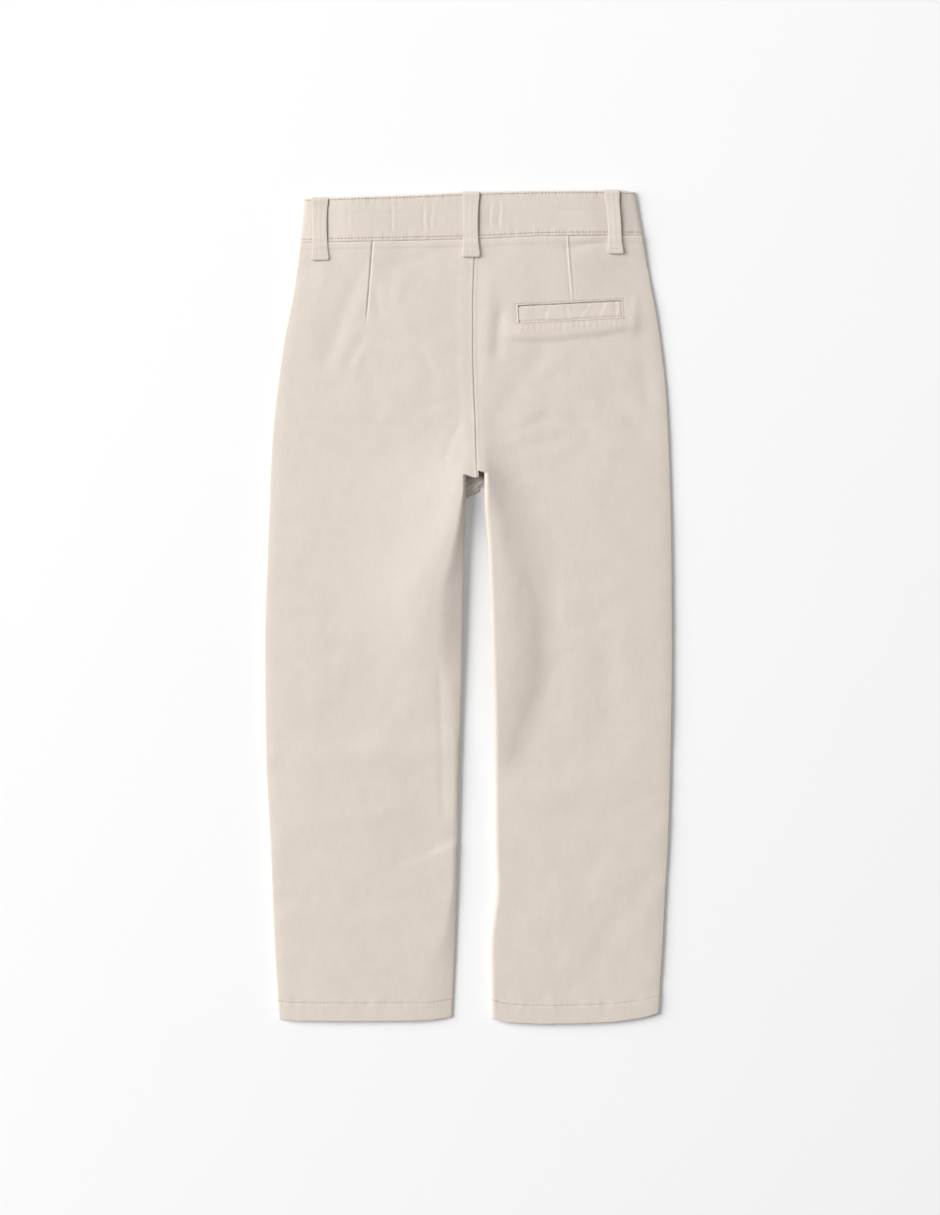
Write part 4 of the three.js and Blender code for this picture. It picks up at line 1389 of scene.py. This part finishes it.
def blend_colours(tree, factor, first, second):
    node = tree.nodes.new("ShaderNodeMix")
    node.data_type = "RGBA"
    tree.links.new(factor, node.inputs["Factor"])
    node.inputs["A"].default_value = (*first, 1)
    node.inputs["B"].default_value = (*second, 1)
    return node.outputs["Result"]


def set_inputs(shader, **values):
    for name, value in values.items():
        shader.inputs[name.replace("_", " ")].default_value = value


def add_bump(tree, shader, height, strength, distance):
    bump = tree.nodes.new("ShaderNodeBump")
    set_inputs(bump, Strength=strength, Distance=distance)
    tree.links.new(height, bump.inputs["Height"])
    tree.links.new(bump.outputs["Normal"], shader.inputs["Normal"])


def scaled(colour, factor):
    return tuple(min(1.0, c * f) for c, f in zip(colour, factor))


def new_material(name):
    material = bpy.data.materials.new(name)
    material.use_nodes = True
    return material, material.node_tree, material.node_tree.nodes["Principled BSDF"]


def cloth_material(name):
    """Brushed cotton twill that follows the cut of the piece."""
    settings = bpy.context.scene.cloth_settings
    material, tree, shader = new_material(name)
    source = tree.nodes.new("ShaderNodeUVMap")
    source.uv_map = "Cut"
    weave = tree.nodes.new("ShaderNodeGroup")
    weave.node_tree = bpy.data.node_groups.get("twill_weave") or twill_group()
    weave.inputs["Pitch"].default_value = settings.twill_pitch
    tree.links.new(source.outputs["UV"], weave.inputs["Vector"])
    dark, light = (scaled(settings.colour, shade) for shade in ((0.88, 0.87, 0.86), (1.12, 1.12, 1.13)))
    tone = blend_colours(tree, weave.outputs["Tone"], dark, light)
    tree.links.new(tone, shader.inputs["Base Color"])
    set_inputs(shader, Roughness=0.92, Specular_IOR_Level=0.2, Sheen_Weight=0.12, Sheen_Roughness=0.6)
    add_bump(tree, shader, weave.outputs["Height"], 0.35, 0.00005)
    return material


def thread_material():
    """Polyester sewing thread with its twist."""
    settings = bpy.context.scene.cloth_settings
    material, tree, shader = new_material("sewing_thread")
    source = tree.nodes.new("ShaderNodeTexCoord")
    twist = noise_node(tree, source.outputs["Object"], 2400, 2)
    dark, light = (scaled(settings.thread, (shade,) * 3) for shade in (0.9, 1.1))
    tree.links.new(blend_colours(tree, twist, dark, light), shader.inputs["Base Color"])
    set_inputs(shader, Roughness=0.7)
    add_bump(tree, shader, twist, 0.4, 0.0001)
    return material


def hole_shade_material():
    """Painted shade of the dimple round a needle hole: the cloth's colour at the rim, darkening to a
    dimmed thread colour in the middle.
    """
    settings = bpy.context.scene.cloth_settings
    material, tree, shader = new_material("painted_dimple_shade")
    attribute = tree.nodes.new("ShaderNodeAttribute")
    attribute.attribute_name = "PaintedShade"
    # Painted shade: the thread colour dimmed further stands for the shadow in the dimple.
    thread = scaled(settings.thread, (0.62, 0.55, 0.49))
    colour = blend_colours(tree, attribute.outputs["Fac"], tuple(settings.colour), thread)
    tree.links.new(colour, shader.inputs["Base Color"])
    set_inputs(shader, Roughness=1, Specular_IOR_Level=0.1)
    return material


def button_material():
    """Cloudy imitation horn, fairly glossy, its roughness changing with the clouds."""
    material, tree, shader = new_material("horn_button")
    source = tree.nodes.new("ShaderNodeTexCoord")
    cloud = noise_node(tree, stretched(tree, source.outputs["Object"], (240, 90, 240)), 1, 5)
    colour = blend_colours(tree, cloud, (0.42, 0.33, 0.23), (0.78, 0.69, 0.55))
    tree.links.new(colour, shader.inputs["Base Color"])
    rough = math_node(tree, "MULTIPLY_ADD", cloud, 0.25, 0.28)
    tree.links.new(rough, shader.inputs["Roughness"])
    return material


def floor_material():
    material, tree, shader = new_material("pale_floor")
    source = tree.nodes.new("ShaderNodeTexCoord")
    mottle = noise_node(tree, source.outputs["Object"], 6, 3)
    colour = blend_colours(tree, mottle, (0.945, 0.945, 0.945), (0.955, 0.955, 0.955))
    tree.links.new(colour, shader.inputs["Base Color"])
    set_inputs(shader, Roughness=0.9, Specular_IOR_Level=0.1)
    return material


def finish_cloth(piece, material, nodes):
    piece.data.materials.append(material)
    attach(piece, "root")
    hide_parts(*nodes)


def cloth(name):
    return bpy.data.materials.get(name) or cloth_material(name)


# Operators.
class TROUSERS_OT_front_panels(bpy.types.Operator):
    """Make the two fronts, which lie on the floor"""

    bl_idname = "trousers.front_panels"
    bl_label = "Front panels"

    def execute(self, context):
        for leg, side in ((LEFT, "left"), (RIGHT, "right")):
            piece = make_front_panel(leg, f"front_{side}_cloth")
            nodes = (f"front_panel_{side}", f"front_panel_{side}_leg")
            finish_cloth(piece, cloth("twill_face"), nodes)
        return {"FINISHED"}


class TROUSERS_OT_back_panels(bpy.types.Operator):
    """Make the two backs, with their darts, hems and folds"""

    bl_idname = "trousers.back_panels"
    bl_label = "Back panels"

    def execute(self, context):
        for leg, side in ((LEFT, "left"), (RIGHT, "right")):
            piece = make_back_panel(leg, f"back_{side}_cloth")
            nodes = (f"back_panel_{side}", f"back_panel_{side}_leg")
            finish_cloth(piece, cloth("twill_face"), nodes)
        return {"FINISHED"}


class TROUSERS_OT_pocket(bpy.types.Operator):
    """Make the welt of the right back pocket"""

    bl_idname = "trousers.pocket"
    bl_label = "Welt pocket"

    def execute(self, context):
        piece = make_welt()
        finish_cloth(piece, cloth("twill_face"), ["pocket_welt"])
        return {"FINISHED"}


class TROUSERS_OT_waistband(bpy.types.Operator):
    """Make the back waistband and the two halves of the front one"""

    bl_idname = "trousers.waistband"
    bl_label = "Waistband"

    def execute(self, context):
        right = make_front_band(1)
        left = make_front_band(-1)
        back = make_back_band()
        material = cloth("twill_face")
        finish_cloth(left, material, ["waistband_front_left"])
        finish_cloth(right, material, ["waistband_front_right"])
        finish_cloth(back, material, ["waistband_back"])
        return {"FINISHED"}


class TROUSERS_OT_belt_loops(bpy.types.Operator):
    """Make the belt loops of the back and of the front"""

    bl_idname = "trousers.belt_loops"
    bl_label = "Belt loops"

    def execute(self, context):
        for name, *place in BACK_LOOPS:
            piece = make_back_loop(name, *place)
            finish_cloth(piece, cloth("twill_loop"), [name])
        for name, *place in FRONT_LOOPS:
            piece = make_front_loop(name, *place)
            finish_cloth(piece, cloth("twill_loop"), [name])
        return {"FINISHED"}


class TROUSERS_OT_button(bpy.types.Operator):
    """Give the waist button its horn finish"""

    bl_idname = "trousers.button"
    bl_label = "Waist button"

    def execute(self, context):
        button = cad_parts["waist_button"]
        button.data.materials.clear()
        button.data.materials.append(button_material())
        return {"FINISHED"}


class TROUSERS_OT_stitching(bpy.types.Operator):
    """Sew the topstitching of the waistband, loops, pocket, seat seam and hems"""

    bl_idname = "trousers.stitching"
    bl_label = "Stitching"

    def execute(self, context):
        pocket_rows, pocket_tacks = pocket_lines()
        front_band = [front_band_line(hand, height) for hand in (-1, 1) for height in BAND_ROWS]
        rows = {
            "waistband_stitches": ([band_line(height) for height in BAND_ROWS], 1.15, 1.8),
            "front_waistband_stitches": (front_band, 1.15, 1),
            "hem_stitches": ([hem_line(LEFT), hem_line(RIGHT)], 1.15, 1.6),
            "front_hem_stitches": ([front_hem_line(LEFT), front_hem_line(RIGHT)], 1.15, 1),
            "fly_stitches": ([fly_line()], 1, 1),
            "pocket_stitches": (pocket_rows, 1, 1.5),
            "pocket_tack_stitches": (pocket_tacks, 0.4, 0.7),
            "seat_stitches": ([seat_line()], 1, 0.6),
            "loop_stitches": (loop_lines(), 0.5, 0.55),
        }
        thread, dimple_shade = thread_material(), hole_shade_material()
        for name, (lines, pitch, width) in rows.items():
            piece = sew(name, lines, pitch, width)
            piece.data.materials.append(thread)
            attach(piece, "root")
            if pitch < 1:
                continue
            # Rows of longer stitches also get discs of painted shade for their needle-hole dimples.
            holes = needle_hole_shade(name.replace("stitches", "needle_hole_shade"), lines, pitch, 0.62 * width)
            holes.data.materials.append(dimple_shade)
            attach(holes, "root")
        return {"FINISHED"}


class TROUSERS_OT_studio(bpy.types.Operator):
    """Set the floor, the lights and the camera that looks straight down"""

    bl_idname = "trousers.studio"
    bl_label = "Studio"

    def execute(self, context):
        settings = context.scene.studio_settings
        bpy.ops.object.select_all(action="DESELECT")
        bpy.ops.mesh.primitive_plane_add(size=60, location=(0, 0, -0.0002))
        floor = context.object
        floor.name = "floor"
        bpy.ops.object.transform_apply(location=True, rotation=True, scale=True)
        floor.data.materials.append(floor_material())
        distance = settings.view_height * settings.lens / 36
        bpy.ops.object.camera_add(location=(0.0013, -0.0004, distance + 0.006), rotation=(0, 0, 0))
        camera = context.object
        camera.data.lens = settings.lens
        camera.data.sensor_width = 36
        camera.data.clip_end = 30
        context.scene.camera = camera
        for name, place, size, power in (
            ("key_light", (-7.6, 2.2, 4.9), 9, settings.key),
            ("side_light", (6.5, -1.5, 6), 5, settings.side),
            ("top_light", (0.6, 3.1, 4.4), 3.6, settings.top),
        ):
            bpy.ops.object.light_add(type="AREA", location=place)
            light = context.object
            light.name = name
            light.data.shape = "DISK"
            light.data.size = size
            light.data.energy = power
            light.rotation_euler = Vector(place).to_track_quat("Z", "Y").to_euler()
        world = bpy.data.worlds.new("soft_room")
        world.use_nodes = True
        background = world.node_tree.nodes["Background"]
        background.inputs["Color"].default_value = (1, 1, 1, 1)
        background.inputs["Strength"].default_value = settings.fill
        context.scene.world = world
        context.scene.view_settings.view_transform = "Standard"
        return {"FINISHED"}


class TROUSERS_PT_panel(bpy.types.Panel):
    bl_label = "Chino trousers"
    bl_idname = "TROUSERS_PT_panel"
    bl_space_type = "VIEW_3D"
    bl_region_type = "UI"
    bl_category = "Chinos"

    def draw(self, context):
        layout = self.layout
        for group, settings in (
            ("Cloth", context.scene.cloth_settings),
            ("Sewing", context.scene.sewing_settings),
            ("Studio", context.scene.studio_settings),
        ):
            box = layout.box()
            box.label(text=group)
            for name in settings.__annotations__:
                box.prop(settings, name)
        for operator in OPERATORS:
            layout.operator(operator.bl_idname)


SETTINGS = (ClothSettings, SewingSettings, StudioSettings)
OPERATORS = (
    TROUSERS_OT_studio,
    TROUSERS_OT_front_panels,
    TROUSERS_OT_back_panels,
    TROUSERS_OT_pocket,
    TROUSERS_OT_belt_loops,
    TROUSERS_OT_waistband,
    TROUSERS_OT_button,
    TROUSERS_OT_stitching,
)


def register():
    for item in (*SETTINGS, *OPERATORS, TROUSERS_PT_panel):
        bpy.utils.register_class(item)
    bpy.types.Scene.cloth_settings = bpy.props.PointerProperty(type=ClothSettings)
    bpy.types.Scene.sewing_settings = bpy.props.PointerProperty(type=SewingSettings)
    bpy.types.Scene.studio_settings = bpy.props.PointerProperty(type=StudioSettings)


def unregister():
    del bpy.types.Scene.studio_settings
    del bpy.types.Scene.sewing_settings
    del bpy.types.Scene.cloth_settings
    for item in reversed((*SETTINGS, *OPERATORS, TROUSERS_PT_panel)):
        bpy.utils.unregister_class(item)


def main():
    register()
    bpy.ops.trousers.studio()
    bpy.ops.trousers.front_panels()
    bpy.ops.trousers.back_panels()
    bpy.ops.trousers.pocket()
    bpy.ops.trousers.belt_loops()
    bpy.ops.trousers.waistband()
    bpy.ops.trousers.button()
    bpy.ops.trousers.stitching()


if __name__ == "__main__":
    main()
